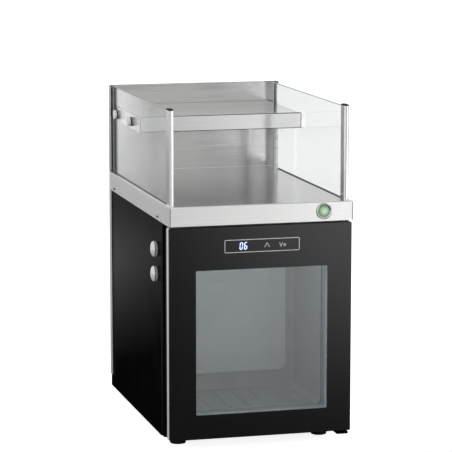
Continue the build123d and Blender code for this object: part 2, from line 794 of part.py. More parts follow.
# Fan frame with its motor seat on four struts
with BuildPart() as fan_frame:
    with BuildSketch(facing_front(fan_front)):
        with Locations((fan_x, fan_z)):
            RectangleRounded(fan_size, fan_size, fan_corner)
            Circle(fan_bore_radius, mode=Mode.SUBTRACT)
            with GridLocations(fan_hole_pitch, fan_hole_pitch, 2, 2):
                RegularPolygon(fan_hole_radius, screw_sides, mode=Mode.SUBTRACT)
    extrude(amount=-fan_depth)
    with BuildSketch(facing_front(fan_front)):
        with Locations((fan_x, fan_z)):
            Circle(fan_hub_radius)
            strut_middle = (fan_hub_radius + fan_bore_radius) / 2
            with PolarLocations(strut_middle, fan_struts, start_angle=fan_strut_turn):
                Rectangle(fan_bore_radius - fan_hub_radius + fan_strut, fan_strut_width)
    extrude(amount=-fan_strut)
save(fan_frame, "fan_frame")

with BuildPart() as fan_motor:
    with BuildSketch(facing_front(fan_front + fan_strut)):
        with Locations((fan_x, fan_z)):
            Circle(fan_motor_radius)
            Circle(fan_shaft_radius + running, mode=Mode.SUBTRACT)
    extrude(amount=-fan_motor_length)
save(fan_motor, "fan_motor")

# Fan rotor: hub cup on the motor shaft, with cambered blades set at a pitch and cut to the fan's bore
blade_tip = fan_bore_radius - fan_tip_gap
blade_root = fan_hub_radius - fan_hub_wall / 2
with BuildPart() as one_blade:
    with BuildSketch(Plane(origin=(blade_root, 0, 0), x_dir=(0, 1, 0), z_dir=(1, 0, 0))):
        with BuildLine(Rot(0, 0, blade_pitch)):
            ThreePointArc((-blade_chord / 2, 0), (0, blade_camber), (blade_chord / 2, 0))
            ThreePointArc((-blade_chord / 2, 0), (0, blade_camber + blade_thickness), (blade_chord / 2, 0))
        make_face()
    extrude(amount=blade_tip - blade_root)
    Cylinder(blade_tip, fan_depth, mode=Mode.INTERSECT)
rotor_front = fan_front + fan_strut + fan_float
rotor_plane = Plane(origin=(fan_x, rotor_front, fan_z), x_dir=(1, 0, 0), z_dir=(0, 1, 0))
cup_depth = fan_motor_length + slip
with BuildPart(rotor_plane) as fan_rotor:
    Cylinder(fan_hub_radius, fan_hub_length, align=(Align.CENTER, Align.CENTER, Align.MIN))
    with Locations((0, 0, fan_hub_length / 2)):
        with PolarLocations(0, fan_blades):
            add(one_blade.part)
    Cylinder(fan_hub_radius - fan_hub_wall, cup_depth, align=(Align.CENTER, Align.CENTER, Align.MIN),
             mode=Mode.SUBTRACT)
    Cylinder(fan_shaft_radius, cup_depth, align=(Align.CENTER, Align.CENTER, Align.MIN))
save(fan_rotor, "fan_rotor")

# Filter drier: swaged copper cartridge in the liquid line
drier_sections = ((0, drier_length, pipe_radius + sheet),
                  (drier_neck, drier_length - drier_neck, drier_radius))
with BuildPart() as filter_drier:
    for start, end, radius in drier_sections:
        with BuildSketch(Plane.XY.offset(drier_top - start)):
            with Locations((corridor_x, drier_y)):
                RegularPolygon(radius, round_sides)
        extrude(amount=start - end)
save(filter_drier, "filter_drier")

# Refrigerant pipes: discharge, liquid, capillary and suction lines, bent from straight tube
discharge_x = compressor_x + compressor_radius + stub_reach
suction_y = compressor_y - compressor_radius - stub_reach
tube_end_x = fan_x - pass_half - condenser_lead
foam_gap = (suction_y + foam_rear) / 2
capillary_z = pan_top + capillary_rise
routes = (
    (pipe_radius, ((discharge_x, compressor_y, stub_z), (corridor_x, compressor_y, stub_z),
                   (corridor_x, compressor_y, pass_zs[0]), (corridor_x, condenser_y, pass_zs[0]),
                   (tube_end_x, condenser_y, pass_zs[0]))),
    (pipe_radius, ((tube_end_x, condenser_y, pass_zs[-1]), (corridor_x, condenser_y, pass_zs[-1]),
                   (corridor_x, drier_y, pass_zs[-1]), (corridor_x, drier_y, drier_top))),
    (capillary_radius, ((corridor_x, drier_y, drier_top - drier_length), (corridor_x, drier_y, capillary_z),
                        (corridor_x, foam_gap, capillary_z), (corridor_x, foam_gap, stub_z),
                        (corridor_x, foam_rear, stub_z))),
    (pipe_radius, ((compressor_x, suction_y, stub_z), (compressor_x, foam_gap, stub_z),
                   (compressor_x, foam_gap, stub_z + suction_rise),
                   (compressor_x, foam_rear, stub_z + suction_rise))),
)
with BuildPart() as refrigerant_pipes:
    for radius, points in routes:
        with BuildLine(mode=Mode.PRIVATE) as route:
            FilletPolyline(*points, radius=pipe_bend)
        with BuildSketch(Plane(origin=points[0], z_dir=route.line % 0)):
            RegularPolygon(radius, pipe_sides)
        sweep(path=route.line)
save(refrigerant_pipes, "refrigerant_pipes")

# Control box on the back of the foam, with a lipped lid
with BuildPart() as control_box:
    with BuildSketch(facing_front(foam_rear)):
        with Locations((control_x, control_z)):
            RectangleRounded(control_width, control_height, control_lip)
    extrude(amount=-(control_depth - control_lid))
    with BuildSketch(facing_front(foam_rear + control_depth - control_lid)):
        with Locations((control_x, control_z)):
            RectangleRounded(control_width + 2 * control_lip, control_height + 2 * control_lip,
                             2 * control_lip)
    extrude(amount=-control_lid)
    chamfer(control_box.faces().sort_by(Axis.Y)[-1].edges(), control_lid / 3)
save(control_box, "control_box")

# Rear covers: two pans that hang over the shell's rear edges, the upper with vents and a fan grille
cover_screw_x = (cabinet_width - rear_flange) / 2
cover_spans = (("rear_cover", cover_joint, cover_top), ("rear_cover_lower", cover_bottom, cover_joint - slip))
cover_screw_spots = []
for name, low, high in cover_spans:
    screw_zs = (low + rear_flange, high - rear_flange)
    spots = [(side * cover_screw_x, z) for side in (-1, 1) for z in screw_zs]
    cover_screw_spots += spots
    with BuildPart() as cover:
        with BuildSketch(Plane.XY.offset(low)):
            with Locations((0, back_y)):
                Rectangle(tray_width, cover_flange, align=(Align.CENTER, Align.MAX))
            with Locations((0, back_y - sheet)):
                Rectangle(tray_width - 2 * sheet, cover_flange, align=(Align.CENTER, Align.MAX),
                          mode=Mode.SUBTRACT)
        extrude(amount=high - low)
        fillet(cover.edges().filter_by(Axis.Z).group_by(Axis.Y)[-1], sheet)
        with BuildSketch(facing_front(back_y - sheet)):
            with Locations(*spots):
                RegularPolygon(screw_radius + slip, screw_sides)
            if name == "rear_cover":
                with Locations((vent_x, cover_top - vent_drop)):
                    with GridLocations(1, vent_pitch, 1, vent_rows):
                        Rectangle(vent_length, vent_height)
                for bar in range(grille_bars):
                    bar_z = (bar - (grille_bars - 1) / 2) * 2 * fan_bore_radius / (grille_bars + 1)
                    bar_half = (fan_bore_radius ** 2 - bar_z ** 2) ** 0.5
                    with Locations((fan_x, fan_z + bar_z)):
                        Rectangle(2 * bar_half, vent_height)
            else:
                with Locations((inlet_x, inlet_z)):
                    Rectangle(inlet_width + 2 * slip, inlet_height + 2 * slip)
                with Locations((fan_x, inlet_z)):
                    with GridLocations(1, vent_pitch, 1, 4):
                        Rectangle(2 * fan_bore_radius, vent_height)
        extrude(amount=-sheet, mode=Mode.SUBTRACT)
    save(cover, name)

with BuildPart() as rear_cover_screws:
    for x, z in cover_screw_spots:
        seat = Plane(origin=(x, back_y, z), x_dir=(1, 0, 0), z_dir=(0, 1, 0))
        add(screw(seat, small_head_radius, small_head_height, screw_radius, sheet + slip))
save(rear_cover_screws, "rear_cover_screws")

# Mains inlet: recessed socket with three flat pins
with BuildPart() as power_inlet:
    with BuildSketch(facing_front(back_y + inlet_flange)):
        with Locations((inlet_x, inlet_z)):
            RectangleRounded(inlet_flange_width, inlet_flange_height, inlet_wall)
    extrude(amount=inlet_flange)
    with BuildSketch(facing_front(back_y)):
        with Locations((inlet_x, inlet_z)):
            Rectangle(inlet_width, inlet_height)
    extrude(amount=inlet_depth)
    with BuildSketch(facing_front(back_y + inlet_flange)):
        with Locations((inlet_x, inlet_z)):
            RectangleRounded(inlet_width - 2 * inlet_wall, inlet_height - 2 * inlet_wall, inlet_wall)
    extrude(amount=inlet_recess, mode=Mode.SUBTRACT)
    with BuildSketch(facing_front(back_y + inlet_flange - inlet_recess)):
        for pin, rise in ((-1, -inlet_wall), (0, inlet_wall), (1, -inlet_wall)):
            with Locations((inlet_x + pin * inlet_pin_pitch, inlet_z + rise)):
                Rectangle(inlet_wall - 2 * slip, 2 * inlet_wall)
    extrude(amount=-(inlet_recess - 2 * inlet_flange))
save(power_inlet, "power_inlet")

# Warmer tray: folded stainless top with a skirt all round
tray_middle = (0, front_y + tray_depth / 2)
with BuildPart() as warmer_tray:
    with BuildSketch(Plane.XY.offset(tray_bottom)):
        with Locations(tray_middle):
            Rectangle(tray_width, tray_depth)
    extrude(amount=tray_height)
    fillet(warmer_tray.edges().filter_by(Axis.Z), tray_bend)
    fillet(warmer_tray.faces().sort_by(Axis.Z)[-1].edges(), tray_bend)
    with BuildSketch(Plane.XY.offset(tray_bottom)):
        with Locations(tray_middle):
            RectangleRounded(tray_width - 2 * tray_sheet, tray_depth - 2 * tray_sheet, tray_bend - tray_sheet)
    extrude(amount=tray_height - tray_sheet, mode=Mode.SUBTRACT)
    with BuildSketch(facing_front(front_y)):
        with Locations(switch_centre):
            Circle(switch_barrel_radius + slip)
    extrude(amount=-tray_sheet, mode=Mode.SUBTRACT)
    with BuildSketch(Plane.XY.offset(tray_top)):
        with Locations(conduit_spot):
            Circle(conduit_radius + slip)
    extrude(amount=-tray_sheet, mode=Mode.SUBTRACT)
    for side in (-1, 1):
        with BuildSketch(facing_side(side * (tray_width - tray_sheet) / 2)):
            with Locations(*tray_screw_spots):
                RegularPolygon(screw_radius + slip, screw_sides)
        extrude(amount=tray_sheet, both=True, mode=Mode.SUBTRACT)
        with BuildSketch(facing_front(front_y)):
            with Locations((side * (tray_width / 2 - tray_bend), tray_bottom)):
                Rectangle(tray_seam, tray_height - tray_bend, align=(Align.CENTER, Align.MIN))
        extrude(amount=-tray_sheet, mode=Mode.SUBTRACT)
save(warmer_tray, "warmer_tray")

with BuildPart() as tray_screws:
    for side in (-1, 1):
        for y, z in tray_screw_spots:
            add(screw(side_seat(side, tray_width / 2, y, z), screw_head_radius, screw_head_height,
                      screw_radius, screw_length))
save(tray_screws, "tray_screws")

# Base plate: closes the tray where it overhangs the door
plate_front = front_y + tray_sheet
with BuildPart() as tray_base_plate:
    with BuildSketch(facing_front(plate_front)):
        with Locations((0, base_plate_z)):
            Rectangle(tray_width - 2 * tray_sheet, base_plate_rim, align=(Align.CENTER, Align.MIN))
        with Locations((0, base_plate_z + sheet)):
            Rectangle(tray_width - 2 * (tray_sheet + sheet), base_plate_rim, align=(Align.CENTER, Align.MIN),
                      mode=Mode.SUBTRACT)
    extrude(amount=plate_front - (shell_front - slip))
    front_corners = tray_base_plate.edges().filter_by(Axis.Z).group_by(Axis.Y)[0].group_by(Axis.X)
    chamfer(front_corners[0] + front_corners[-1], tray_bend)
save(tray_base_plate, "tray_base_plate")

# Heater mats under the tray surface and under the shelf surface, and the thermostat on the first
with BuildPart() as heater_mats:
    with BuildSketch(Plane.XY.offset(mat_z)):
        with Locations(tray_middle):
            RectangleRounded(tray_width - 2 * mat_margin, tray_depth - 4 * mat_margin, mat_margin / 2)
        with Locations(conduit_spot):
            Circle(2 * conduit_radius, mode=Mode.SUBTRACT)
    extrude(amount=mat_thickness)
    with BuildSketch(Plane.XY.offset(shelf_top - tray_sheet)):
        with Locations(shelf_middle):
            RectangleRounded(shelf_width - 2 * mat_margin, shelf_depth - 2 * mat_margin, mat_margin / 2)
    extrude(amount=-mat_thickness)
save(heater_mats, "heater_mats")

with BuildPart() as warmer_thermostat:
    with BuildSketch(Plane.XY.offset(mat_z)):
        with Locations(tray_middle):
            Circle(thermostat_radius)
    extrude(amount=-thermostat_height / 2)
    with BuildSketch(Plane.XY.offset(mat_z - thermostat_height / 2)):
        with Locations(tray_middle):
            Rectangle(2 * thermostat_radius, thermostat_radius)
    extrude(amount=-thermostat_height / 2)
save(warmer_thermostat, "warmer_thermostat")

# Rear wall of the warmer: upright stainless sheet with side flanges folded forwards
with BuildPart() as rear_wall:
    with BuildSketch(Plane.XY.offset(tray_top)):
        with Locations((0, back_y)):
            Rectangle(tray_width, wall_flange, align=(Align.CENTER, Align.MAX))
        with Locations((0, wall_face)):
            Rectangle(tray_width - 2 * tray_sheet, wall_flange, align=(Align.CENTER, Align.MAX),
                      mode=Mode.SUBTRACT)
    extrude(amount=wall_height)
    fillet(rear_wall.edges().filter_by(Axis.Z).group_by(Axis.Y)[-1], tray_bend)
save(rear_wall, "rear_wall")

# Glass side screens in their front posts, foot seals and rear channels
with BuildPart() as glass_screens:
    for side in (-1, 1):
        with BuildSketch(facing_side(side * glass_x)):
            with Locations((glass_front, glass_bottom)):
                Rectangle(glass_back - glass_front, glass_top - glass_bottom, align=(Align.MIN, Align.MIN))
            with Locations(*fixing_spots):
                RegularPolygon(glass_hole_radius, round_sides, mode=Mode.SUBTRACT)
        extrude(amount=glass / 2, both=True)
    chamfer(glass_screens.edges().filter_by(Axis.Y).group_by(Axis.Z)[-1], glass_arris)
save(glass_screens, "glass_screens")

with BuildPart() as front_posts:
    for side in (-1, 1):
        with BuildSketch(Plane.XY.offset(tray_top)):
            with Locations((side * glass_x, post_back)):
                Rectangle(post_width, post_depth - post_width / 2, align=(Align.CENTER, Align.MAX))
            with Locations((side * glass_x, post_front + post_width / 2)):
                Circle(post_width / 2)
            with Locations((side * glass_x, post_back)):
                Rectangle(glass_slot, post_back - glass_front + slip, align=(Align.CENTER, Align.MAX),
                          mode=Mode.SUBTRACT)
        extrude(amount=wall_height)
        with BuildSketch(facing_side(side * (glass_x - post_width / 2))):
            with Locations((post_front + post_depth / 2, tray_top + post_screw_rise)):
                RegularPolygon(small_screw_radius + slip, screw_sides)
        extrude(amount=side * post_wall, mode=Mode.SUBTRACT)
save(front_posts, "front_posts")

with BuildPart() as post_caps:
    for side in (-1, 1):
        with BuildSketch(Plane.XY.offset(wall_top)):
            with Locations((side * glass_x, post_back)):
                Rectangle(post_width, post_depth - post_width / 2, align=(Align.CENTER, Align.MAX))
            with Locations((side * glass_x, post_front + post_width / 2)):
                Circle(post_width / 2)
        extrude(amount=post_cap)
    chamfer(post_caps.faces().group_by(Axis.Z)[-1].edges(), post_cap / 3)
save(post_caps, "post_caps")

# Small screws: two in each hinge bracket and a clamping screw in each post
with BuildPart() as small_screws:
    for side in (-1, 1):
        spot = (bracket_screws[0] + side * hinge_screw_spread / 2, bracket_screws[1])
        for seat_z, way in ((base_z - lower_plate, -1), (frame_top + upper_plate, 1)):
            seat = Plane(origin=(*spot, seat_z), x_dir=(1, 0, 0), z_dir=(0, 0, way))
            add(screw(seat, small_head_radius, small_head_height, small_screw_radius, small_screw_length))
        seat = side_seat(-side, post_width / 2 - glass_x, post_front + post_depth / 2,
                         tray_top + post_screw_rise)
        add(screw(seat, small_head_radius, small_head_height, small_screw_radius, post_wall - running))
save(small_screws, "small_screws")

with BuildPart() as glass_seals:
    for side in (-1, 1):
        with BuildSketch(facing_front(post_back + slip)):
            with Locations((side * glass_x, tray_top)):
                Rectangle(seal_width, seal_height, align=(Align.CENTER, Align.MIN))
            with Locations((side * glass_x, tray_top + seal_base)):
                Rectangle(glass_slot, seal_height, align=(Align.CENTER, Align.MIN), mode=Mode.SUBTRACT)
        extrude(amount=post_back - channel_front + 2 * slip)
save(glass_seals, "glass_seals")

with BuildPart() as rear_channels:
    for side in (-1, 1):
        with BuildSketch(Plane.XY.offset(tray_top)):
            with Locations((side * glass_x, wall_face)):
                Rectangle(post_width, rear_channel_depth, align=(Align.CENTER, Align.MAX))
            with Locations((side * glass_x, wall_face - post_wall)):
                Rectangle(glass_slot, rear_channel_depth, align=(Align.CENTER, Align.MAX), mode=Mode.SUBTRACT)
        extrude(amount=wall_height - glass_drop)
save(rear_channels, "rear_channels")

# Upper cup shelf: folded stainless box, closed below by a plate
with BuildPart() as cup_shelf:
    with BuildSketch(Plane.XY.offset(shelf_bottom)):
        with Locations(shelf_middle):
            Rectangle(shelf_width, shelf_depth)
    extrude(amount=shelf_height)
    fillet(cup_shelf.edges().filter_by(Axis.Z), tray_bend)
    fillet(cup_shelf.faces().sort_by(Axis.Z)[-1].edges(), tray_bend)
    with BuildSketch(Plane.XY.offset(shelf_bottom)):
        with Locations(shelf_middle):
            RectangleRounded(shelf_width - 2 * tray_sheet, shelf_depth - 2 * tray_sheet,
                             tray_bend - tray_sheet)
    extrude(amount=shelf_height - tray_sheet, mode=Mode.SUBTRACT)
    for side in (-1, 1):
        with BuildSketch(facing_side(side * shelf_width / 2)):
            with Locations(*fixing_spots):
                RegularPolygon(stud_radius + slip, screw_sides)
        extrude(amount=-side * tray_sheet, mode=Mode.SUBTRACT)
save(cup_shelf, "cup_shelf")

with BuildPart() as shelf_base:
    with BuildSketch(Plane.XY.offset(shelf_bottom + tray_sheet)):
        with Locations(shelf_middle):
            RectangleRounded(shelf_width - 2 * (tray_sheet + running),
                             shelf_depth - 2 * (tray_sheet + running), tray_bend)
        with Locations(conduit_spot):
            Circle(conduit_radius + slip, mode=Mode.SUBTRACT)
    extrude(amount=sheet)
save(shelf_base, "shelf_base")

# Point fixings: domed studs through the glass, rubber washers on both sides, nuts in the shelf
glass_outer = glass_x + glass / 2
head_seat = glass_outer + fixing_washer
stud_length = head_seat - (shelf_width / 2 - stud_reach)
with BuildPart() as shelf_fixings:
    for side in (-1, 1):
        for y, z in fixing_spots:
            add(screw(side_seat(side, head_seat, y, z), fixing_radius, fixing_head, stud_radius, stud_length,
                      round_sides))
save(shelf_fixings, "shelf_fixings")

with BuildPart() as fixing_washers:
    for side in (-1, 1):
        for start, thickness in ((glass_outer, fixing_washer), (shelf_width / 2, shelf_gap)):
            with BuildSketch(facing_side(side * start)):
                with Locations(*fixing_spots):
                    RegularPolygon(fixing_radius, round_sides)
                    RegularPolygon(stud_radius + slip, screw_sides, mode=Mode.SUBTRACT)
            extrude(amount=side * thickness)
save(fixing_washers, "fixing_washers")

with BuildPart() as fixing_nuts:
    for side in (-1, 1):
        with BuildSketch(facing_side(side * (shelf_width / 2 - tray_sheet))):
            with Locations(*fixing_spots):
                RegularPolygon(nut_radius, shank_sides)
                RegularPolygon(stud_radius + slip, shank_sides, mode=Mode.SUBTRACT)
        extrude(amount=-side * nut_height)
save(fixing_nuts, "fixing_nuts")

# Cable conduit between tray and shelf
with BuildPart() as cable_conduit:
    with BuildSketch(Plane.XY.offset(tray_top - conduit_lap)):
        with Locations(conduit_spot):
            Circle(conduit_radius)
            Circle(conduit_radius - conduit_wall, mode=Mode.SUBTRACT)
    extrude(amount=shelf_rise + 2 * conduit_lap)
save(cable_conduit, "cable_conduit")

# Push button: bright bezel and barrel in the tray front, lit dome that presses in
bezel_face = front_y - switch_bezel
button_room = switch_bezel + button_skirt + 2 * button_travel
with BuildPart() as switch_housing:
    with BuildSketch(facing_front(bezel_face)):
        with Locations(switch_centre):
            Circle(switch_bezel_radius)
    extrude(amount=-switch_bezel)
    chamfer(switch_housing.faces().sort_by(Axis.Y)[0].edges(), switch_bezel / 2)
    with BuildSketch(facing_front(front_y)):
        with Locations(switch_centre):
            Circle(switch_barrel_radius)
    extrude(amount=-switch_barrel)
    with BuildSketch(facing_front(bezel_face)):
        with Locations(switch_centre):
            Circle(button_radius + button_gap)
    extrude(amount=-button_room, mode=Mode.SUBTRACT)
    with BuildSketch(facing_front(bezel_face + button_room)):
        with Locations(switch_centre):
            Circle(button_stem_radius + running)
    extrude(amount=-(button_stem + button_travel + slip), mode=Mode.SUBTRACT)
save(switch_housing, "switch_housing")

button_tip = front_y - switch_proud
button_edge = bezel_face - running
button_shoulder = bezel_face + button_skirt
stem_end = bezel_face + button_room + button_stem
button_plane = Plane(origin=(switch_x, 0, switch_centre[1]), x_dir=(1, 0, 0), z_dir=(0, 0, -1))
with BuildPart() as switch_button:
    with BuildSketch(button_plane):
        with BuildLine():
            Polyline((0, -stem_end), (button_stem_radius, -stem_end), (button_stem_radius, -button_shoulder),
                     (button_radius, -button_shoulder),
                     *dome(button_radius, button_edge - button_tip, -button_edge), close=True)
        make_face()
    revolve(axis=Axis((switch_x, 0, switch_centre[1]), (0, 1, 0)))
save(switch_button, "switch_button")

# Door glass and the print on its back that leaves the window clear
with BuildPart() as door_outer_glass:
    with BuildSketch(facing_front(door_face)):
        with Locations((0, door_mid)):
            RectangleRounded(door_width, door_height, door_corner)
    extrude(amount=-door_glass)
    chamfer(door_outer_glass.faces().sort_by(Axis.Y)[0].edges(), glass_arris)
save(door_outer_glass, "door_outer_glass")

with BuildPart() as door_print:
    with BuildSketch(facing_front(print_face)):
        with Locations((0, door_mid)):
            RectangleRounded(door_width, door_height, door_corner)
        with Locations(window_centre):
            RectangleRounded(window_width, window_height, door_corner / 2, mode=Mode.SUBTRACT)
    extrude(amount=-print_thickness)
save(door_print, "door_print")

# Edge frame: aluminium profile round the door, bored for the hinge bushes
with BuildPart() as door_edge_frame:
    with BuildSketch(facing_front(edge_frame_face)):
        with Locations((0, door_mid)):
            RectangleRounded(door_width, door_height, door_corner)
            RectangleRounded(door_width - 2 * edge_frame_rail, door_height - 2 * edge_frame_rail,
                             door_corner / 2, mode=Mode.SUBTRACT)
    extrude(amount=-edge_frame_depth)
    for start, way in ((door_bottom, 1), (door_top, -1)):
        with BuildSketch(Plane.XY.offset(start)):
            with Locations((hinge_x, hinge_y)):
                Circle(bush_radius + running)
        extrude(amount=way * (hinge_pin_reach + 2 * slip), mode=Mode.SUBTRACT)
save(door_edge_frame, "door_edge_frame")

with BuildPart() as hinge_bushes:
    for start, way in ((door_bottom, 1), (door_top, -1)):
        with BuildSketch(Plane.XY.offset(start)):
            with Locations((hinge_x, hinge_y)):
                Circle(bush_radius)
        extrude(amount=way * (hinge_pin_reach + slip))
        with BuildSketch(Plane.XY.offset(start)):
            with Locations((hinge_x, hinge_y)):
                Circle(bush_flange_radius)
        extrude(amount=-way * bush_flange)
        with BuildSketch(Plane.XY.offset(start - way * bush_flange)):
            with Locations((hinge_x, hinge_y)):
                Circle(hinge_pin_radius + running)
        extrude(amount=way * (bush_flange + hinge_pin_reach + slip), mode=Mode.SUBTRACT)
save(hinge_bushes, "hinge_bushes")

# Insulating glazing: spacer, inner pane and the bead that holds them
spacer_outer = (window_width + 2 * spacer_width, window_height + 2 * spacer_width)
with BuildPart() as door_spacer:
    with BuildSketch(facing_front(edge_frame_face)):
        with Locations(window_centre):
            Rectangle(*spacer_outer)
            Rectangle(window_width, window_height, mode=Mode.SUBTRACT)
    extrude(amount=-spacer_depth)
save(door_spacer, "door_spacer")

with BuildPart() as door_inner_glass:
    with BuildSketch(facing_front(inner_pane_face)):
        with Locations(window_centre):
            Rectangle(spacer_outer[0] + 2 * pane_lap, spacer_outer[1] + 2 * pane_lap)
    extrude(amount=-inner_pane)
save(door_inner_glass, "door_inner_glass")

bead_inner = (window_width + 2 * bead_reveal, window_height + 2 * bead_reveal)
bead_outer = (bead_inner[0] + 2 * bead_width, bead_inner[1] + 2 * bead_width)
bead_face = inner_pane_face + inner_pane
with BuildPart() as glazing_bead:
    with BuildSketch(facing_front(bead_face)):
        with Locations(window_centre):
            Rectangle(*bead_outer)
            Rectangle(*bead_inner, mode=Mode.SUBTRACT)
    extrude(amount=bead_face - inner_frame_back)
    mouth = glazing_bead.faces().sort_by(Axis.Y)[-1]
    chamfer(mouth.inner_wires()[0].edges(), bead_width / 4)
save(glazing_bead, "glazing_bead")

with BuildPart() as door_inner_frame:
    with BuildSketch(facing_front(inner_frame_face)):
        with Locations((0, door_mid)):
            RectangleRounded(door_width - 2 * inner_frame_inset, door_height - 2 * inner_frame_inset,
                             inner_frame_corner)
        with Locations(window_centre):
            Rectangle(bead_outer[0] + 2 * slip, bead_outer[1] + 2 * slip, mode=Mode.SUBTRACT)
    extrude(amount=-inner_frame_depth)
    chamfer(door_inner_frame.faces().sort_by(Axis.Y)[-1].outer_wire().edges(), inner_frame_corner / 2)
save(door_inner_frame, "door_inner_frame")

# Gasket: magnetic seal with a bellows between its mounting rib and its head
gasket_inner = (chamber_width + 2 * gasket_overlap, chamber_height + 2 * gasket_overlap)
fold_inset = (gasket_width - gasket_fold) / 2
fold_depth = gasket_depth - 2 * gasket_head
gasket_layers = ((gasket_head, 0), (fold_depth, fold_inset), (gasket_head, 0))
with BuildPart() as door_gasket:
    layer_face = inner_frame_back
    for depth, inset in gasket_layers:
        with BuildSketch(facing_front(layer_face)):
            with Locations((0, chamber_mid)):
                RectangleRounded(gasket_inner[0] + 2 * (gasket_width - inset),
                                 gasket_inner[1] + 2 * (gasket_width - inset), gasket_width)
                Rectangle(gasket_inner[0] + 2 * inset, gasket_inner[1] + 2 * inset, mode=Mode.SUBTRACT)
        extrude(amount=-depth)
        layer_face += depth
save(door_gasket, "door_gasket")

# Display module behind the upper door glass
with BuildPart() as display_module:
    with BuildSketch(facing_front(edge_frame_face)):
        with Locations((window_offset, display_z)):
            RectangleRounded(display_width, display_height, door_corner)
    extrude(amount=-(display_depth - display_board))
    with BuildSketch(facing_front(edge_frame_face + display_depth - display_board)):
        with Locations((window_offset, display_z)):
            Rectangle(display_width - 2 * door_corner, display_height - door_corner)
    extrude(amount=-display_board)
save(display_module, "display_module")
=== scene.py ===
from math import cos, radians, sin, tau

import bmesh
import bpy
from mathutils import Matrix, Vector


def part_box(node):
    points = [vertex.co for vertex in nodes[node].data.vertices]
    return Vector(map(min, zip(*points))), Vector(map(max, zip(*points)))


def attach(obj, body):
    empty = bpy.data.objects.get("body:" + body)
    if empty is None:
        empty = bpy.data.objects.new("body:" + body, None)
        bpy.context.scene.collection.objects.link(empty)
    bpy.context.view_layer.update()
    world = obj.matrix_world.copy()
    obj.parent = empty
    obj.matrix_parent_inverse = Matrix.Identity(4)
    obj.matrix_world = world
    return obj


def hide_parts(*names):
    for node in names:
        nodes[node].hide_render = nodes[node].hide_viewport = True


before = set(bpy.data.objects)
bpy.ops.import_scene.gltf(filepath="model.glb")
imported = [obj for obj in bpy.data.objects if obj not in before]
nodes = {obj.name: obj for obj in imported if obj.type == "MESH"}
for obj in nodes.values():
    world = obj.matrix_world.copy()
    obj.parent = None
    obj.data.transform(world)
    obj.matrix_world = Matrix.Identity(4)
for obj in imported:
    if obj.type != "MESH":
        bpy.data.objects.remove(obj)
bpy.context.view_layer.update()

# Base pan: the floor of the cabinet, folded up at its rims from galvanised sheet.
# It lies in the shell's lower fold, and its zinc has set in flat crystals a few millimetres wide.
zinc_dark = (0.36, 0.37, 0.38)
zinc_light = (0.45, 0.46, 0.47)
zinc_crystals = 320.0  # per metre


def shader_of(finish):
    """The shader of a finish."""
    return finish.node_tree.nodes["Principled BSDF"]


def feed(finish, output, socket):
    """Feeds a node's output into a socket of a finish or of the world."""
    finish.node_tree.links.new(output, socket)


def new_finish(name, roughness, metallic=0.0, shine=0.5):
    """A finish, with the values that are alike all over the surface set on its shader."""
    finish = bpy.data.materials.new(name)
    finish.use_nodes = True
    shader = shader_of(finish)
    shader.inputs["Roughness"].default_value = roughness
    shader.inputs["Metallic"].default_value = metallic
    shader.inputs["Specular IOR Level"].default_value = shine
    return finish


def set_shader(finish, **values):
    """Sets sockets of a finish's shader, named with underscores for spaces."""
    for name, value in values.items():
        shader_of(finish).inputs[name.replace("_", " ")].default_value = value


def add_node(finish, kind, inputs, **settings):
    """A node of a finish. An input is a plain value or another node's output."""
    node = finish.node_tree.nodes.new("ShaderNode" + kind)
    for name, value in settings.items():
        setattr(node, name, value)
    for name, value in inputs.items():
        if isinstance(value, bpy.types.NodeSocket):
            feed(finish, value, node.inputs[name])
        else:
            node.inputs[name].default_value = value
    return node


def stretched(finish, per_metre):
    """Places on the piece, counted so many per metre: one count for all, or one each along X, Y and Z."""
    counts = per_metre if isinstance(per_metre, tuple) else (per_metre,) * 3
    place = add_node(finish, "TexCoord", {}).outputs["Object"]
    return add_node(finish, "Mapping", {"Vector": place, "Scale": counts}).outputs["Vector"]


def grain(finish, per_metre, detail=3.0):
    """Cloudy grain, finer where the count per metre is larger."""
    place = stretched(finish, per_metre)
    return add_node(finish, "TexNoise", {"Vector": place, "Scale": 1.0, "Detail": detail}).outputs["Fac"]


def vary(finish, pattern, shades=None, rough=None, relief=None, low=0.3, high=0.7):
    """Lets a pattern run a finish between two shades or two roughnesses, or raise it by so many metres."""
    shader = shader_of(finish)
    if shades:
        ramp = add_node(finish, "ValToRGB", {"Fac": pattern})
        for stop, shade, place in zip(ramp.color_ramp.elements, shades, (low, high)):
            stop.color = (*shade, 1.0)
            stop.position = place
        feed(finish, ramp.outputs["Color"], shader.inputs["Base Color"])
    if rough:
        span = {"Value": pattern, "From Min": low, "From Max": high, "To Min": rough[0], "To Max": rough[1]}
        feed(finish, add_node(finish, "MapRange", span).outputs["Result"], shader.inputs["Roughness"])
    if relief:
        raised = {"Height": pattern, "Distance": relief, "Strength": 1.0}
        feed(finish, add_node(finish, "Bump", raised).outputs["Normal"], shader.inputs["Normal"])


def coat(finish, *names):
    """Gives CAD nodes their finish."""
    for name in names:
        nodes[name].data.materials.clear()
        nodes[name].data.materials.append(finish)


zinc = new_finish("zinc_coated_sheet", 0.38, metallic=1.0)
crystals = add_node(zinc, "TexVoronoi", {"Vector": stretched(zinc, zinc_crystals), "Scale": 1.0})
vary(zinc, crystals.outputs["Color"], (zinc_dark, zinc_light), rough=(0.40, 0.50))
coat(zinc, "base_pan", "tray_base_plate", "shelf_base")

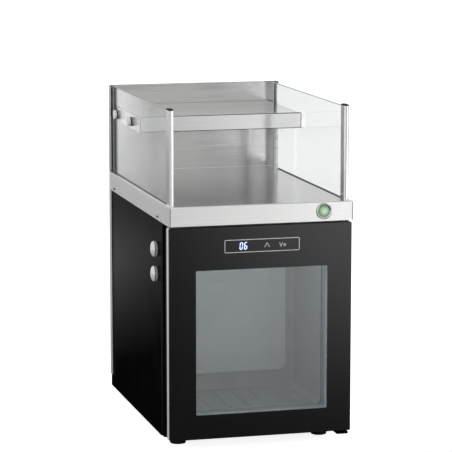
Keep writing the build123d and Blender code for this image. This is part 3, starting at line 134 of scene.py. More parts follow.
# Feet: four moulded rubber pads with a ribbed flank, screwed up into the pan from below.
# Each screw head sits deep in the pad's hollow, clear of the counter.
rubber_shades = ((0.010, 0.010, 0.010), (0.022, 0.022, 0.023))
foot_radius = 0.0125
foot_waist = 0.0109
foot_hollow = 0.0060
hollow_depth = 0.0090
hollow_chamfer = 0.0006
sole_edge = ((0.0010, 0.0), (0.0003, 0.0003), (0.0, 0.0012), (0.0, 0.0030))  # in from the flank, and up
foot_ribs = 3
first_rib = 0.0034
plain_height = 0.0060  # of the foot, without its ribs
rib_depth = 0.0008
rib_outline = ((0.0, 0.0), (0.0, 0.45), (rib_depth, 0.55), (rib_depth, 0.9))  # depth, and share of the pitch
turned_sides = 64
recess_lobes = 6


def mottled(name, per_metre, shades, rough, relief=None, detail=3.0, **values):
    """A finish that a cloudy grain runs between two shades, and two roughnesses if rough is a pair."""
    varied = isinstance(rough, tuple)
    finish = new_finish(name, sum(rough) / 2 if varied else rough, **values)
    vary(finish, grain(finish, per_metre, detail), shades, rough if varied else None, relief)
    return finish


def seat(place, outward):
    """A turning axis that leaves a place in the outward direction."""
    return Matrix.Translation(place) @ Vector(outward).to_track_quat("Z", "Y").to_matrix().to_4x4()


def make_piece(name, form, crease=35.0):
    """A mesh piece from a finished form, smooth but for edges sharper than the crease angle."""
    bmesh.ops.recalc_face_normals(form, faces=form.faces)
    mesh = bpy.data.meshes.new(name)
    form.to_mesh(mesh)
    form.free()
    mesh.shade_smooth()
    mesh.set_sharp_from_angle(angle=radians(crease))
    piece = bpy.data.objects.new(name, mesh)
    bpy.context.scene.collection.objects.link(piece)
    return piece


def turn(name, profile, seats, sides=turned_sides):
    """A turned piece, or several alike: radius and height points spun about each seat's axis.
    A third number at a point is the depth of the lobes round that ring."""
    form = bmesh.new()
    for axis in seats:
        rings = []
        for radius, height, *lobe in profile:
            depth = lobe[0] if lobe else 0.0
            ring = []
            for n in range(sides if radius else 1):
                angle = tau * n / sides
                reach = radius + depth * cos(recess_lobes * angle)
                place = Vector((reach * cos(angle), reach * sin(angle), height))
                ring.append(form.verts.new(axis @ place))
            rings.append(ring)
        for ring, following in zip(rings, rings[1:]):
            for n in range(sides):
                m = (n + 1) % sides
                corners = (ring[n % len(ring)], ring[m % len(ring)],
                           following[m % len(following)], following[n % len(following)])
                form.faces.new(dict.fromkeys(corners))
    return make_piece(name, form)


def fit(piece, finish, body, slot, *replaced):
    """Finishes a piece, lets it ride on its body and stand for CAD nodes."""
    piece.data.materials.append(finish)
    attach(piece, body)
    if replaced:
        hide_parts(*replaced)


rubber = mottled("moulded_rubber", 900.0, rubber_shades, (0.6, 0.8), relief=0.00006, shine=0.3)
foot_low, foot_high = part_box("feet")
foot_seats = [seat((x, y, 0), (0, 0, 1)) for x in (foot_low.x + foot_radius, foot_high.x - foot_radius)
              for y in (foot_low.y + foot_radius, foot_high.y - foot_radius)]
foot_profile = [(0, hollow_depth), (foot_hollow, hollow_depth), (foot_hollow, hollow_chamfer),
                (foot_hollow + hollow_chamfer, 0)]
foot_profile += [(foot_radius - inset, rise) for inset, rise in sole_edge]
rib_pitch = (foot_high.z - plain_height) / foot_ribs
for rib in range(foot_ribs):
    rib_z = first_rib + rib * rib_pitch
    foot_profile += [(foot_waist + depth, rib_z + rib_pitch * share) for depth, share in rib_outline]
foot_profile += [(foot_waist, foot_high.z), (0, foot_high.z)]
fit(turn("rubber_feet", foot_profile, foot_seats), rubber, "cabinet", "black_rubber", "feet")
coat(rubber, "compressor_grommets", "door_gasket")

# Screws: bright steel pan heads with a six-lobe recess, rolled and then plated.
# They hold the feet, the hinge brackets, the glass posts, the rear covers and the tray's skirt.
screw_shades = ((0.50, 0.50, 0.50), (0.68, 0.68, 0.67))
pan_screw = (0.0035, 0.0020, 0.0020)  # head radius, head height and shank radius
small_screw = (0.0026, 0.0014, 0.0014)
foot_screw_length = 0.0083  # of the shank, as the other three
cover_screw_length = 0.0011
tray_screw_length = 0.0070
small_screw_length = 0.0013
same_place = 1e-6  # corners nearer than this are one
tray_low, tray_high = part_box("warmer_tray")


def solids_of(node):
    """Lowest and highest corner of each separate solid in a CAD node."""
    form = bmesh.new()
    form.from_mesh(nodes[node].data)
    bmesh.ops.remove_doubles(form, verts=form.verts, dist=same_place)
    reached = set()
    boxes = []
    for start in form.verts:
        if start in reached:
            continue
        reached.add(start)
        found = [start]
        for vert in found:
            joined = {edge.other_vert(vert) for edge in vert.link_edges} - reached
            reached |= joined
            found += joined
        low = Vector([min(vert.co[n] for vert in found) for n in range(3)])
        high = Vector([max(vert.co[n] for vert in found) for n in range(3)])
        boxes.append((low, high))
    form.free()
    return boxes


def screw_profile(radius, height, shank, length):
    """Half section of a pan head screw, from the recess floor round the head to the shank's end."""
    recess = radius * 0.40
    lobe = radius * 0.07
    return [(0, height * 0.25), (recess, height * 0.25, lobe), (recess, height * 0.96, lobe),
            (radius * 0.52, height), (radius * 0.78, height * 0.90), (radius * 0.93, height * 0.66),
            (radius, height * 0.32), (radius, 0), (shank, 0), (shank, -length), (0, -length)]


def screw_seats(node, outward, head):
    """A seat under the head of each screw in a CAD node, looking the way that its corners give."""
    seats = []
    for low, high in solids_of(node):
        middle = (low + high) / 2
        way = Vector(outward(low, high))
        tip = middle + Vector([way[n] * (high[n] - low[n]) / 2 for n in range(3)])
        seats.append(seat(tip - way * head, way))
    return seats


def downward(low, high):
    """Screws of the feet look down."""
    return (0, 0, -1)


def backward(low, high):
    """Screws of the rear covers look to the back."""
    return (0, 1, 0)


def sideways(low, high):
    """Away from the middle of the machine, to the left or to the right."""
    return (1, 0, 0) if low.x + high.x > 0 else (-1, 0, 0)


def hinge_or_post(low, high):
    """Upright screws of the hinge brackets look up or down, and those of the posts to the middle."""
    if high.z - low.z > high.x - low.x:
        return (0, 0, 1) if low.z > tray_low.z / 2 else (0, 0, -1)
    return -Vector(sideways(low, high))


steel = mottled("plated_screw_steel", 700.0, screw_shades, (0.18, 0.34), metallic=1.0)
screw_sets = (("foot_screw_heads", "foot_screws", pan_screw, foot_screw_length, downward),
              ("rear_cover_screw_heads", "rear_cover_screws", small_screw, cover_screw_length, backward),
              ("tray_screw_heads", "tray_screws", pan_screw, tray_screw_length, sideways),
              ("small_screw_heads", "small_screws", small_screw, small_screw_length, hinge_or_post))
for name, node, size, length, outward in screw_sets:
    screws = turn(name, screw_profile(*size, length), screw_seats(node, outward, size[1]))
    fit(screws, steel, "cabinet", "bright_steel", node)
coat(steel, "fixing_nuts", "fan_motor")

# Cabinet shell: one wrap of steel sheet, folded and powder coated in satin black.
# The powder flows into a faint orange peel when it is baked, and shows softly in the light.
paint_black = (0.0026, 0.0026, 0.0027)
paint_worn = (0.0054, 0.0054, 0.0055)
orange_peel = 0.00004
powder = mottled("black_powder_coat", 14.0, (paint_black, paint_worn), (0.15, 0.19), shine=0.0060)
vary(powder, grain(powder, 620.0, 1.0), relief=orange_peel)
coat(powder, "cabinet_shell")

# Hinge brackets: pressed steel plates with a riveted pin, screwed under and over the front frame.
# They have the same black coat as the shell.
coat(powder, "lower_hinge_bracket", "upper_hinge_bracket")

# Front frame: the black moulding round the chamber's mouth on which the door gasket lands.
# It has the fine spark-eroded grain of the mould and clips between shell and liner.
moulding_shades = ((0.004, 0.004, 0.004), (0.008, 0.008, 0.008))
moulding = mottled("black_moulded_plastic", 1100.0, moulding_shades, (0.42, 0.58), relief=0.00005, shine=0.02)
coat(moulding, "front_frame", "door_inner_frame", "post_caps", "power_inlet", "control_box", "display_module")

# Insulation: polyurethane foamed in place between shell and liner.
# It is out of sight once the machine is closed, with the small cells of cut foam.
foam = mottled("cut_foam", 450.0, ((0.62, 0.53, 0.30), (0.78, 0.70, 0.46)), 0.9, relief=0.0002)
coat(foam, "insulation_foam")

# Chamber liner: a box vacuum-formed from one pale polystyrene sheet, with ribs on its floor.
# The forming leaves a satin skin that is a little cloudy where the sheet was drawn deep.
# Its grey is darker than the pale sheet, as painted shade for the dim inside of the closed chamber.
liner = mottled("formed_liner_painted_shade", 22.0, ((0.34, 0.365, 0.375), (0.42, 0.445, 0.455)), (0.30, 0.42))
vary(liner, grain(liner, 500.0), relief=0.00003)
coat(liner, "inner_liner")

# Evaporator: two aluminium sheets rolled together with the refrigerant channel blown up between them.
# A thin white coat keeps acid splashes off it, and four stand-offs hold it to the back of the liner.
frosted = mottled("coated_evaporator", 60.0, ((0.655, 0.675, 0.69), (0.70, 0.72, 0.73)), (0.36, 0.48))
coat(frosted, "evaporator_plate")

# Light bar and sensor: an opal lens over a row of cool white diodes under the chamber roof.
# The temperature sensor beside it is a capsule in a nylon clip.
lamp_colour = (0.80, 0.93, 1.0)
lamp_strength = 3.0
opal = mottled("opal_lens", 90.0, ((0.80, 0.84, 0.86), (0.92, 0.94, 0.95)), 0.3)
set_shader(opal, Emission_Color=(*lamp_colour, 1.0), Emission_Strength=lamp_strength)
coat(opal, "led_light_bar")
nylon = mottled("natural_nylon", 300.0, ((0.62, 0.61, 0.57), (0.76, 0.75, 0.71)), (0.38, 0.55))
coat(nylon, "temperature_sensor", "hose_bushes", "hinge_bushes", "warmer_thermostat")

# Hose plugs: two turned and chromed caps that close the hose outlets on the left side.
# Each has a domed face, a groove above its rim and a stem that pushes into the nylon bush.
# A black ring laid in the groove is painted shade for the shadow inside it.
chrome_shades = ((0.88, 0.88, 0.89), (0.95, 0.95, 0.95))
plug_radius = 0.0120
plug_height = 0.0073
plug_rim = 0.0030
plug_edge = 0.0002
plug_stem_radius = 0.00495
stem_chamfer = 0.0006
groove_depth = 0.0018
groove_low = 0.0016
groove_high = 0.0028
groove_flare = 0.0001
ring_sink = 0.0003  # below the plug's flank
ring_low = 0.0017
ring_high = 0.0027
ring_bevel = 0.0003
ring_shoulder = 0.0004
dome_steps = 14


def dome(radius, height, base):
    """Radius and height points of a dome with a round shoulder, from its rim up to its middle."""
    turns = [tau / 4 * n / dome_steps for n in range(dome_steps)]
    return [*((radius * cos(angle), base + height * sin(angle)) for angle in turns), (0, base + height)]


satin_chrome = mottled("satin_chrome", 160.0, chrome_shades, (0.22, 0.32), metallic=0.2)
groove_radius = plug_radius - groove_depth
ring_radius = plug_radius - ring_sink
plug_shade_ring = [(groove_radius, ring_low), (ring_radius - ring_shoulder, ring_low),
             (ring_radius, ring_low + ring_bevel), (ring_radius, ring_high - ring_bevel),
             (ring_radius - ring_shoulder, ring_high), (groove_radius, ring_high), (groove_radius, ring_low)]
for name in ("hose_plug_upper", "hose_plug_lower"):
    plug_low, plug_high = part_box(name)
    plug_seat = plug_low.x + plug_height
    stem = plug_high.x - plug_seat
    plug_profile = [(0, -stem), (plug_stem_radius - stem_chamfer, -stem),
                    (plug_stem_radius, -stem + stem_chamfer), (plug_stem_radius, 0),
                    (plug_radius - plug_edge, 0), (plug_radius, plug_edge),
                    (plug_radius, groove_low - groove_flare), (groove_radius, groove_low),
                    (groove_radius, groove_high), (plug_radius, groove_high + groove_flare),
                    *dome(plug_radius, plug_height - plug_rim, plug_rim)]
    middle = (plug_low + plug_high) / 2
    plug_axis = seat((plug_seat, middle.y, middle.z), (-1, 0, 0))
    fit(turn(name + "_cap", plug_profile, [plug_axis]), satin_chrome, name, "chrome", name)
    # The black ring in each groove is painted shade.
    fit(turn(name + "_ring", plug_shade_ring, [plug_axis]), rubber, name, "black_rubber")

# Compressor: a drawn and welded steel pot in gloss black enamel on its mounting plate.
# The enamel is dipped, so it is thick and even, with a little dust baked into it.
enamel = mottled("gloss_black_enamel", 40.0, ((0.010, 0.010, 0.011), (0.020, 0.020, 0.021)), (0.14, 0.30))
coat(enamel, "compressor")

# Refrigerant circuit: drawn copper tube and a copper filter drier, brazed together.
# Handling leaves brown and pink clouds on the bare copper.
copper_shades = ((0.46, 0.20, 0.11), (0.74, 0.40, 0.26))
copper = mottled("drawn_copper", 120.0, copper_shades, (0.24, 0.42), metallic=1.0)
coat(copper, "filter_drier", "refrigerant_pipes", "condenser_tube")

# Condenser fins: thin aluminium sheets pressed onto the tube between two end plates.
# The bare sheet keeps the fine lines of the rolling mill.
mill_shades = ((0.60, 0.61, 0.62), (0.76, 0.77, 0.78))
mill = mottled("mill_aluminium", (500.0, 30.0, 500.0), mill_shades, (0.28, 0.42), metallic=1.0)
coat(mill, "condenser_fins")

# Fan: a moulded frame, and a hub with cambered blades that spins on the motor's shaft.
# Both are glass-filled black plastic with a dull, slightly streaked skin.
fan_shades = ((0.010, 0.010, 0.010), (0.024, 0.024, 0.024))
fan_plastic = mottled("glass_filled_plastic", 260.0, fan_shades, (0.46, 0.64), shine=0.3)
coat(fan_plastic, "fan_frame", "fan_rotor")

# Rear covers: two pans of steel sheet hung over the shell's rear edges and screwed on.
# They are powder coated in light grey, with punched vents and a round grille behind the fan.
grey_shades = ((0.52, 0.53, 0.54), (0.58, 0.59, 0.60))
grey_coat = mottled("grey_powder_coat", 16.0, grey_shades, (0.42, 0.54), shine=0.4)
vary(grey_coat, grain(grey_coat, 600.0, 1.0), relief=orange_peel)
coat(grey_coat, "rear_cover", "rear_cover_lower")

# Warmer tray: one stainless sheet with its four sides folded down as a skirt and brushed.
# The brush ran across the machine, so the lines on the two short sides stand upright; a black line in
# the open seam beside each front corner is painted shade for the shadow inside the seam.
steel_dark = (0.73, 0.73, 0.725)
steel_light = (0.84, 0.84, 0.835)
fold_painted_shades = ((0.51, 0.51, 0.505), (0.60, 0.60, 0.595))
lines_along = 9.0  # brush lines per metre along the stroke
lines_across = 2600.0  # and across it
line_detail = 2.0
line_relief = 0.000012
level_from = 0.9  # upward part of the normal from which a face counts as level
deck_polish = 0.5  # share of the roughness left on the level faces, which are rubbed smooth in use
fold_slope = 0.03  # share of the normal by which a folded edge leans off the flat faces
seam_width = 0.0008
seam_setback = 0.0020  # from the tray's side to the middle of the seam
seam_sink = 0.0004  # the bend of the corner sets the seam back by this much
seam_rise = 0.0002
seam_depth = 0.0005
hem_gap = 0.0002
fold_gap = 0.0001
round_steps = 8
half_round = [tau / 2 * n / round_steps for n in range(round_steps + 1)]


def brushed(name, shades=(steel_dark, steel_light), rough=(0.33, 0.48)):
    """Stainless steel brushed along X, and upright on faces that look sideways."""
    finish = new_finish(name, sum(rough) / 2, metallic=1.0)
    level = grain(finish, (lines_along, lines_across, lines_across), line_detail)
    upright = grain(finish, (lines_across, lines_across, lines_along), line_detail)
    normal = add_node(finish, "NewGeometry", {}).outputs["Normal"]
    facing = add_node(finish, "SeparateXYZ", {"Vector": normal}).outputs
    sideways_face = add_node(finish, "Math", {0: facing["X"]}, operation="ABSOLUTE").outputs[0]
    lines = add_node(finish, "Mix", {"Factor": sideways_face, "A": level, "B": upright}).outputs[0]
    vary(finish, lines, shades, rough, line_relief)
    roughness = shader_of(finish).inputs["Roughness"]
    rubbing = {"Value": facing["Z"], "From Min": level_from, "To Min": 1.0, "To Max": deck_polish}
    rubbed = add_node(finish, "MapRange", rubbing).outputs["Result"]
    fine = add_node(finish, "Math", {0: roughness.links[0].from_socket, 1: rubbed}, operation="MULTIPLY")
    feed(finish, fine.outputs[0], roughness)
    return finish


def coat_part(node, finish, chosen):
    """Gives those faces of a CAD node whose normal is chosen a second finish."""
    mesh = nodes[node].data
    mesh.materials.append(finish)
    for face in mesh.polygons:
        face.material_index = 1 if chosen(face.normal) else 0


def join_loops(form, loops):
    """Strips of faces between closed rows of corners that follow each other."""
    for one, other in zip(loops, loops[1:]):
        for n in range(len(one)):
            m = (n + 1) % len(one)
            form.faces.new((one[n], one[m], other[m], other[n]))


def make_rod(form, rows):
    """A closed rod through rows of corners, with a face at each end."""
    join_loops(form, rows)
    form.faces.new(rows[0])
    form.faces.new(rows[-1])


def painted_shade_line(form, start, end, width, rise, depth):
    """A half-round line between two places on a face that looks to the front, laid as painted shade."""
    across = (end - start).normalized().cross(Vector((0, 1, 0))) * width / 2
    section = [across * cos(angle) - Vector((0, rise * sin(angle), 0)) for angle in half_round]
    section += [Vector((0, depth, 0)) - across, Vector((0, depth, 0)) + across]
    places = (start, (start + end) / 2, end)
    make_rod(form, [[form.verts.new(place + corner) for corner in section] for place in places])


stainless = brushed("brushed_stainless")
coat(stainless, "warmer_tray")
# The folds along the tray's sides get a darker copy of the steel, as painted shade that takes out their
# highlight.
fold_painted_shade = brushed("fold_painted_shade", fold_painted_shades)
coat_part("warmer_tray", fold_painted_shade,
          lambda normal: fold_slope < abs(normal.x) < 1 - fold_slope and normal.z > fold_slope)
# A black line in each open seam, as painted shade for the shadow inside it.
form = bmesh.new()
for side in (tray_low.x + seam_setback, tray_high.x - seam_setback):
    hem = Vector((side, tray_low.y + seam_sink, tray_low.z + hem_gap))
    fold = Vector((side, tray_low.y + seam_sink, tray_high.z - seam_setback - fold_gap))
    painted_shade_line(form, hem, fold, seam_width, seam_rise, seam_depth)
fit(make_piece("seam_painted_shade", form), rubber, "cabinet", "black_rubber")

# Heater mats: silicone pads with a wire element, stuck under the tray and under the shelf.
# They are brick red and out of sight in the finished machine.
silicone = mottled("silicone_mat", 250.0, ((0.42, 0.12, 0.07), (0.56, 0.19, 0.11)), (0.5, 0.7))
coat(silicone, "heater_mats")

# Rear wall of the warmer: an upright stainless sheet with its sides folded forwards.
# It keeps the finer, smoother grain of the bright sheet and stands at the back of the tray. Its colour is
# painted darker than the tray's, partly as painted shade for the shadow and dark reflections on it.
rear_wall_painted_shades = ((0.40, 0.40, 0.395), (0.50, 0.50, 0.495))
rear_sheet_painted_shade = brushed("rear_stainless_painted_shade", rear_wall_painted_shades, (0.14, 0.24))
coat(rear_sheet_painted_shade, "rear_wall")

# Glass screens: two panes of clear float glass with ground edges, one on each side of the tray.
# Handling leaves them a trace of haze, and the iron in the glass a trace of green.
glass_shades = ((0.955, 0.975, 0.968), (0.975, 0.988, 0.984))
edge_shades = ((0.30, 0.34, 0.33), (0.40, 0.44, 0.43))
glass_index = 1.5
edge_clearness = 0.35
pane_facing = 0.9  # sideways part of the normal above which a face belongs to the clear pane


def clear_glass(name):
    """Float glass, with a faint cloud of haze."""
    finish = mottled(name, 9.0, glass_shades, 0.0)
    set_shader(finish, Transmission_Weight=1.0, IOR=glass_index)
    return finish


screen_glass = clear_glass("screen_glass")
coat(screen_glass, "glass_screens")
ground_edge = mottled("ground_glass_edge", 700.0, edge_shades, (0.30, 0.45))
set_shader(ground_edge, Transmission_Weight=edge_clearness, IOR=glass_index)
coat_part("glass_screens", ground_edge, lambda normal: abs(normal.x) <= pane_facing)

# Foot seals: grey-black sections of soft rubber that the panes stand in, laid along the tray's edges.
# They are extruded and cut to length, dull, with a bloom that makes them paler than the feet.
seal_shades = ((0.085, 0.085, 0.086), (0.120, 0.120, 0.121))
seal_rise = 0.0010
seal_half = 0.0026
seal_round = 0.0003
seal_rubber = mottled("grey_seal_rubber", (600.0, 40.0, 600.0), seal_shades, (0.55, 0.75), shine=0.3)
form = bmesh.new()
for low, high in solids_of("glass_seals"):
    middle = (low.x + high.x) / 2
    top = low.z + seal_rise
    half = [(seal_half, low.z), (seal_half, top - seal_round), (seal_half - seal_round, top)]
    section = half + [(-x, z) for x, z in reversed(half)]
    cuts = (low.y, (low.y + high.y) / 2, high.y)
    make_rod(form, [[form.verts.new((middle + x, y, z)) for x, z in section] for y in cuts])
fit(make_piece("foot_seal_strips", form), seal_rubber, "cabinet", "black_rubber", "glass_seals")

# Posts: extruded aluminium sections with a round nose that hold the front edges of the glass.
# They are satin anodised, with the drawn lines of the die along their length.
post_shades = ((0.74, 0.74, 0.75), (0.86, 0.86, 0.87))
die_lines = (1800.0, 1800.0, 6.0)  # per metre along X, Y and Z
fine_relief = 0.00001
anodised = mottled("satin_anodised", die_lines, post_shades, (0.15, 0.24), fine_relief, 2.0, metallic=1.0)
coat(anodised, "front_posts")

# Rear channels: grey plastic sections that hold the rear edges of the glass against the wall.
# They are extruded, so their skin is smooth with faint lines along it; a bright trim strip with a round
# front edge is clipped over their inner side.
channel_shades = ((0.28, 0.28, 0.282), (0.35, 0.35, 0.352))
channel_lines = (1200.0, 1200.0, 8.0)  # per metre along X, Y and Z
strip_sheet = 0.0004
strip_gap = 0.0001
channel = mottled("extruded_grey_plastic", channel_lines, channel_shades, (0.32, 0.48), detail=2.0,
                  shine=0.35)
coat(channel, "rear_channels")
form = bmesh.new()
for low, high in solids_of("rear_channels"):
    inward = -1 if low.x > 0 else 1
    start = low.x if low.x > 0 else high.x
    half = strip_sheet / 2
    section = [(strip_gap + half * (1 - cos(angle)), low.y - half * sin(angle)) for angle in half_round]
    section += [(strip_gap + strip_sheet, high.y - strip_gap), (strip_gap, high.y - strip_gap)]
    cuts = (low.z + strip_gap, (low.z + high.z) / 2, high.z)
    make_rod(form, [[form.verts.new((start + inward * x, y, z)) for x, y in section] for z in cuts])
fit(make_piece("channel_trim_strips", form), anodised, "cabinet", "aluminium")

# Upper shelf: a shallow stainless box with a heater inside, folded and brushed like the tray.
# It hangs between the panes on four point fixings. Its bends, and black lines along its lower front edge and
# up the corner where its ends meet, are painted shade for the dark reflections along those edges.
shelf_shades = ((0.74, 0.74, 0.735), (0.83, 0.83, 0.825))
bend_painted_shades = ((0.13, 0.13, 0.13), (0.19, 0.19, 0.19))
upright_share = 0.05  # rise of the brush stroke, which turns it upright on the shelf's ends
quarter_turn = 0.25
flat_from = 0.97  # part of the normal along an axis above which a face is flat
shelf_joint = 0.0010
joint_rise = 0.0002
joint_depth = 0.0002
corner_depth = 0.0006
corner_setback = 0.0014
corner_gap = 0.0010
fine_stainless = brushed("fine_brushed_stainless", shelf_shades, (0.12, 0.17))
set_shader(fine_stainless, Anisotropic=1.0, Anisotropic_Rotation=quarter_turn)
stroke = add_node(fine_stainless, "CombineXYZ", {"X": 1.0, "Z": upright_share}).outputs["Vector"]
feed(fine_stainless, stroke, shader_of(fine_stainless).inputs["Tangent"])
coat(fine_stainless, "cup_shelf")
# The bends get a dark copy of the steel, as painted shade.
bend_painted_shade = brushed("bend_painted_shade", bend_painted_shades, (0.30, 0.42))
coat_part("cup_shelf", bend_painted_shade, lambda normal: max(abs(part) for part in normal) <= flat_from)
shelf_low, shelf_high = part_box("cup_shelf")
joint_z = shelf_low.z + shelf_joint / 2
left_corner = Vector((shelf_low.x + corner_setback, shelf_low.y, joint_z))
right_corner = Vector((shelf_high.x - corner_setback, shelf_low.y, joint_z))
corner_top = right_corner + Vector((0, 0, shelf_high.z - joint_z - corner_gap))
# Black lines along the lower front edge and up the right corner, as painted shade.
form = bmesh.new()
painted_shade_line(form, left_corner, right_corner, shelf_joint, joint_rise, joint_depth)
painted_shade_line(form, right_corner, corner_top, shelf_joint, joint_rise, corner_depth)
fit(make_piece("shelf_joint_painted_shade", form), rubber, "cabinet", "black_rubber")

# Point fixings: chromed studs with a flat round head outside the glass and rubber washers on both sides.
# A six-lobe recess in the head takes the key, and a nut inside the shelf holds the stud.
fixing_radius = 0.0076
fixing_head = 0.0040
fixing_stud = 0.0030
head_round = 0.0006
head_shoulder = 0.0002
head_break = 0.0003
key_floor = 0.0022
key_radius = 0.0026
key_lobe = 0.0004
key_mouth = 0.0034
washer_bore = 0.0033
washer_round = 0.0006
stud_seats = screw_seats("shelf_fixings", sideways, fixing_head)
stud_low, stud_high = solids_of("shelf_fixings")[0]
stud_length = stud_high.x - stud_low.x - fixing_head
fixing_profile = [(0, key_floor), (key_radius, key_floor, key_lobe),
                  (key_radius, fixing_head - head_shoulder, key_lobe), (key_mouth, fixing_head),
                  (fixing_radius - head_round, fixing_head),
                  (fixing_radius - head_shoulder, fixing_head - head_shoulder),
                  (fixing_radius, fixing_head - head_round), (fixing_radius, head_break),
                  (fixing_radius - head_break, 0), (fixing_stud, 0),
                  (fixing_stud, -stud_length), (0, -stud_length)]
fit(turn("fixing_studs", fixing_profile, stud_seats), satin_chrome, "cabinet", "chrome", "shelf_fixings")
for n, (low, high) in enumerate(solids_of("fixing_washers")):
    middle = (low + high) / 2
    thickness = high.x - low.x
    edge = min(thickness / 3, washer_round)
    washer_profile = [(washer_bore, 0), (fixing_radius - edge, 0), (fixing_radius, edge),
                      (fixing_radius, thickness - edge), (fixing_radius - edge, thickness),
                      (washer_bore, thickness), (washer_bore, 0)]
    washer = turn(f"fixing_washer_{n + 1}", washer_profile, [seat((low.x, middle.y, middle.z), (1, 0, 0))])
    fit(washer, rubber, "cabinet", "black_rubber", "fixing_washers")

# Cable conduit: a bright drawn tube that carries the shelf's heater lead up from the tray.
# It passes through a hole at each end and shows between tray and shelf.
coat(satin_chrome, "cable_conduit")

# Push button: a turned chrome bezel with a green dome that is lit from inside and presses in.
# The dome is translucent polycarbonate. Its lamp's light is painted into its colour as a pale core, with
# painted shade darkening it towards the rim.
bezel_shades = ((0.50, 0.52, 0.51), (0.62, 0.64, 0.63))
bezel_radius = 0.0125
bezel_rise = 0.0020
bezel_crown = ((0.0033, 0.0008), (0.0019, 0.0018), (0.0016, bezel_rise), (0.0011, bezel_rise),
               (0.0006, 0.0018), (0.0002, 0.0014), (0.0, 0.0010), (0.0, 0.0005))  # in from the rim, and up
bezel_foot = (0.0003, 0.0004)  # the undercut below the rim, in and up
barrel_radius = 0.0107
bore_radius = 0.0090
bore_depth = 0.0070
bore_lip = 0.0007
guide_radius = 0.00405
guide_depth = 0.0123
button_radius = 0.00875
button_chamfer = 0.0004
button_shoulder = -0.0010
stem_radius = 0.0040
flange_top = 0.0002
flange_round = 0.0003
lens_radius = 0.0075
lens_foot = (0.0002, 0.0007)  # out from the lens, and up
lens_rim = 0.0012
lens_index = 1.58
lens_clearness = 0.25
lens_glow = (0.5, 0.9, 0.55, 1.0)
glow_strength = 0.10
painted_glow_place = (-0.0012, -0.0006, 0.0040)  # of the lamp behind the lens, seen from the bezel's seat
core_ripple = 0.0006
painted_glow_colour = (0.95, 1.0, 0.90, 1.0)
painted_halo_colour = (0.60, 0.80, 0.58, 1.0)
halo_reach = 0.45
painted_rim_shade_colour = (0.17, 0.34, 0.18, 1.0)
housing_low, housing_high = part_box("switch_housing")
button_low, button_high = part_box("switch_button")
button_middle = (button_low + button_high) / 2
face_y = housing_low.y + bezel_rise
barrel = housing_high.y - face_y
bezel_profile = [(0, -guide_depth), (guide_radius, -guide_depth), (guide_radius, -bore_depth),
                 (bore_radius, -bore_depth), (bore_radius, bore_lip)]
bezel_profile += [(bezel_radius - inset, rise) for inset, rise in bezel_crown]
bezel_profile += [(bezel_radius - bezel_foot[0], bezel_foot[1]), (bezel_radius - bezel_foot[0], 0),
                  (barrel_radius, 0), (barrel_radius, -barrel), (0, -barrel)]
button_seat = seat((button_middle.x, face_y, button_middle.z), (0, -1, 0))
bezel_chrome = mottled("bezel_chrome", 300.0, bezel_shades, (0.10, 0.22), metallic=1.0)
fit(turn("switch_bezel", bezel_profile, [button_seat]), bezel_chrome, "cabinet", "chrome", "switch_housing")
stem_end = face_y - button_high.y
button_profile = [(0, stem_end), (stem_radius, stem_end), (stem_radius, button_shoulder),
                  (button_radius - button_chamfer, button_shoulder),
                  (button_radius, button_shoulder + button_chamfer), (button_radius, flange_top),
                  (button_radius - flange_round, flange_top + flange_round),
                  (lens_radius + lens_foot[0], lens_foot[1]),
                  *dome(lens_radius, face_y - button_low.y - lens_rim, lens_rim)]
green = new_finish("green_polycarbonate", 0.12)
set_shader(green, Transmission_Weight=lens_clearness, IOR=lens_index, Emission_Color=lens_glow,
           Emission_Strength=glow_strength)
place = add_node(green, "TexCoord", {}).outputs["Object"]
core = button_seat @ Vector(painted_glow_place)
reach = add_node(green, "VectorMath", {0: place, 1: core}, operation="DISTANCE").outputs["Value"]
waves = {"Value": grain(green, 500.0), "To Min": -core_ripple, "To Max": core_ripple}
ripple = add_node(green, "MapRange", waves).outputs["Result"]
spread = add_node(green, "Math", {0: reach, 1: ripple}, operation="ADD").outputs[0]
fall = add_node(green, "MapRange", {"Value": spread, "From Min": 0.0, "From Max": button_radius})
ramp = add_node(green, "ValToRGB", {"Fac": fall.outputs["Result"]})
# The pale core and the darker rim are painted glow and painted shade in the dome's colour.
ramp.color_ramp.elements[0].color = painted_glow_colour
ramp.color_ramp.elements[1].color = painted_rim_shade_colour
ramp.color_ramp.elements.new(halo_reach).color = painted_halo_colour
feed(green, ramp.outputs["Color"], shader_of(green).inputs["Base Color"])
fit(turn("lit_dome", button_profile, [button_seat]), green, "switch_button", "green_lens", "switch_button")

# Door glass: one pane of float glass over the whole door, printed black on its back round a clear window.
# The print is fired on, so pane and print show as one deep, smooth black; the edges are ground to an arris.
print_shades = ((0.0020, 0.0020, 0.0021), (0.0032, 0.0032, 0.0033))
arris = 0.0005
pane_corner = 0.0020
window_corner = 0.0020
window_clearance = 0.00002


def rounded_frame(low, high, corner, steps=6):
    """Points round a rectangle with rounded corners."""
    centres = ((high.x - corner, high.z - corner), (low.x + corner, high.z - corner),
               (low.x + corner, low.z + corner), (high.x - corner, low.z + corner))
    points = []
    for quarter, (x, z) in enumerate(centres):
        for n in range(steps + 1):
            angle = tau * (quarter + n / steps) / 4
            points.append((x + corner * cos(angle), z + corner * sin(angle)))
    return points


def rim_loop(form, low, high, corner, inset, depth):
    """A closed row of corners round a rounded rectangle, drawn in by an inset, at a depth."""
    margin = Vector((inset, 0, inset))
    outline = rounded_frame(low + margin, high - margin, corner - inset)
    return [form.verts.new((x, depth, z)) for x, z in outline]


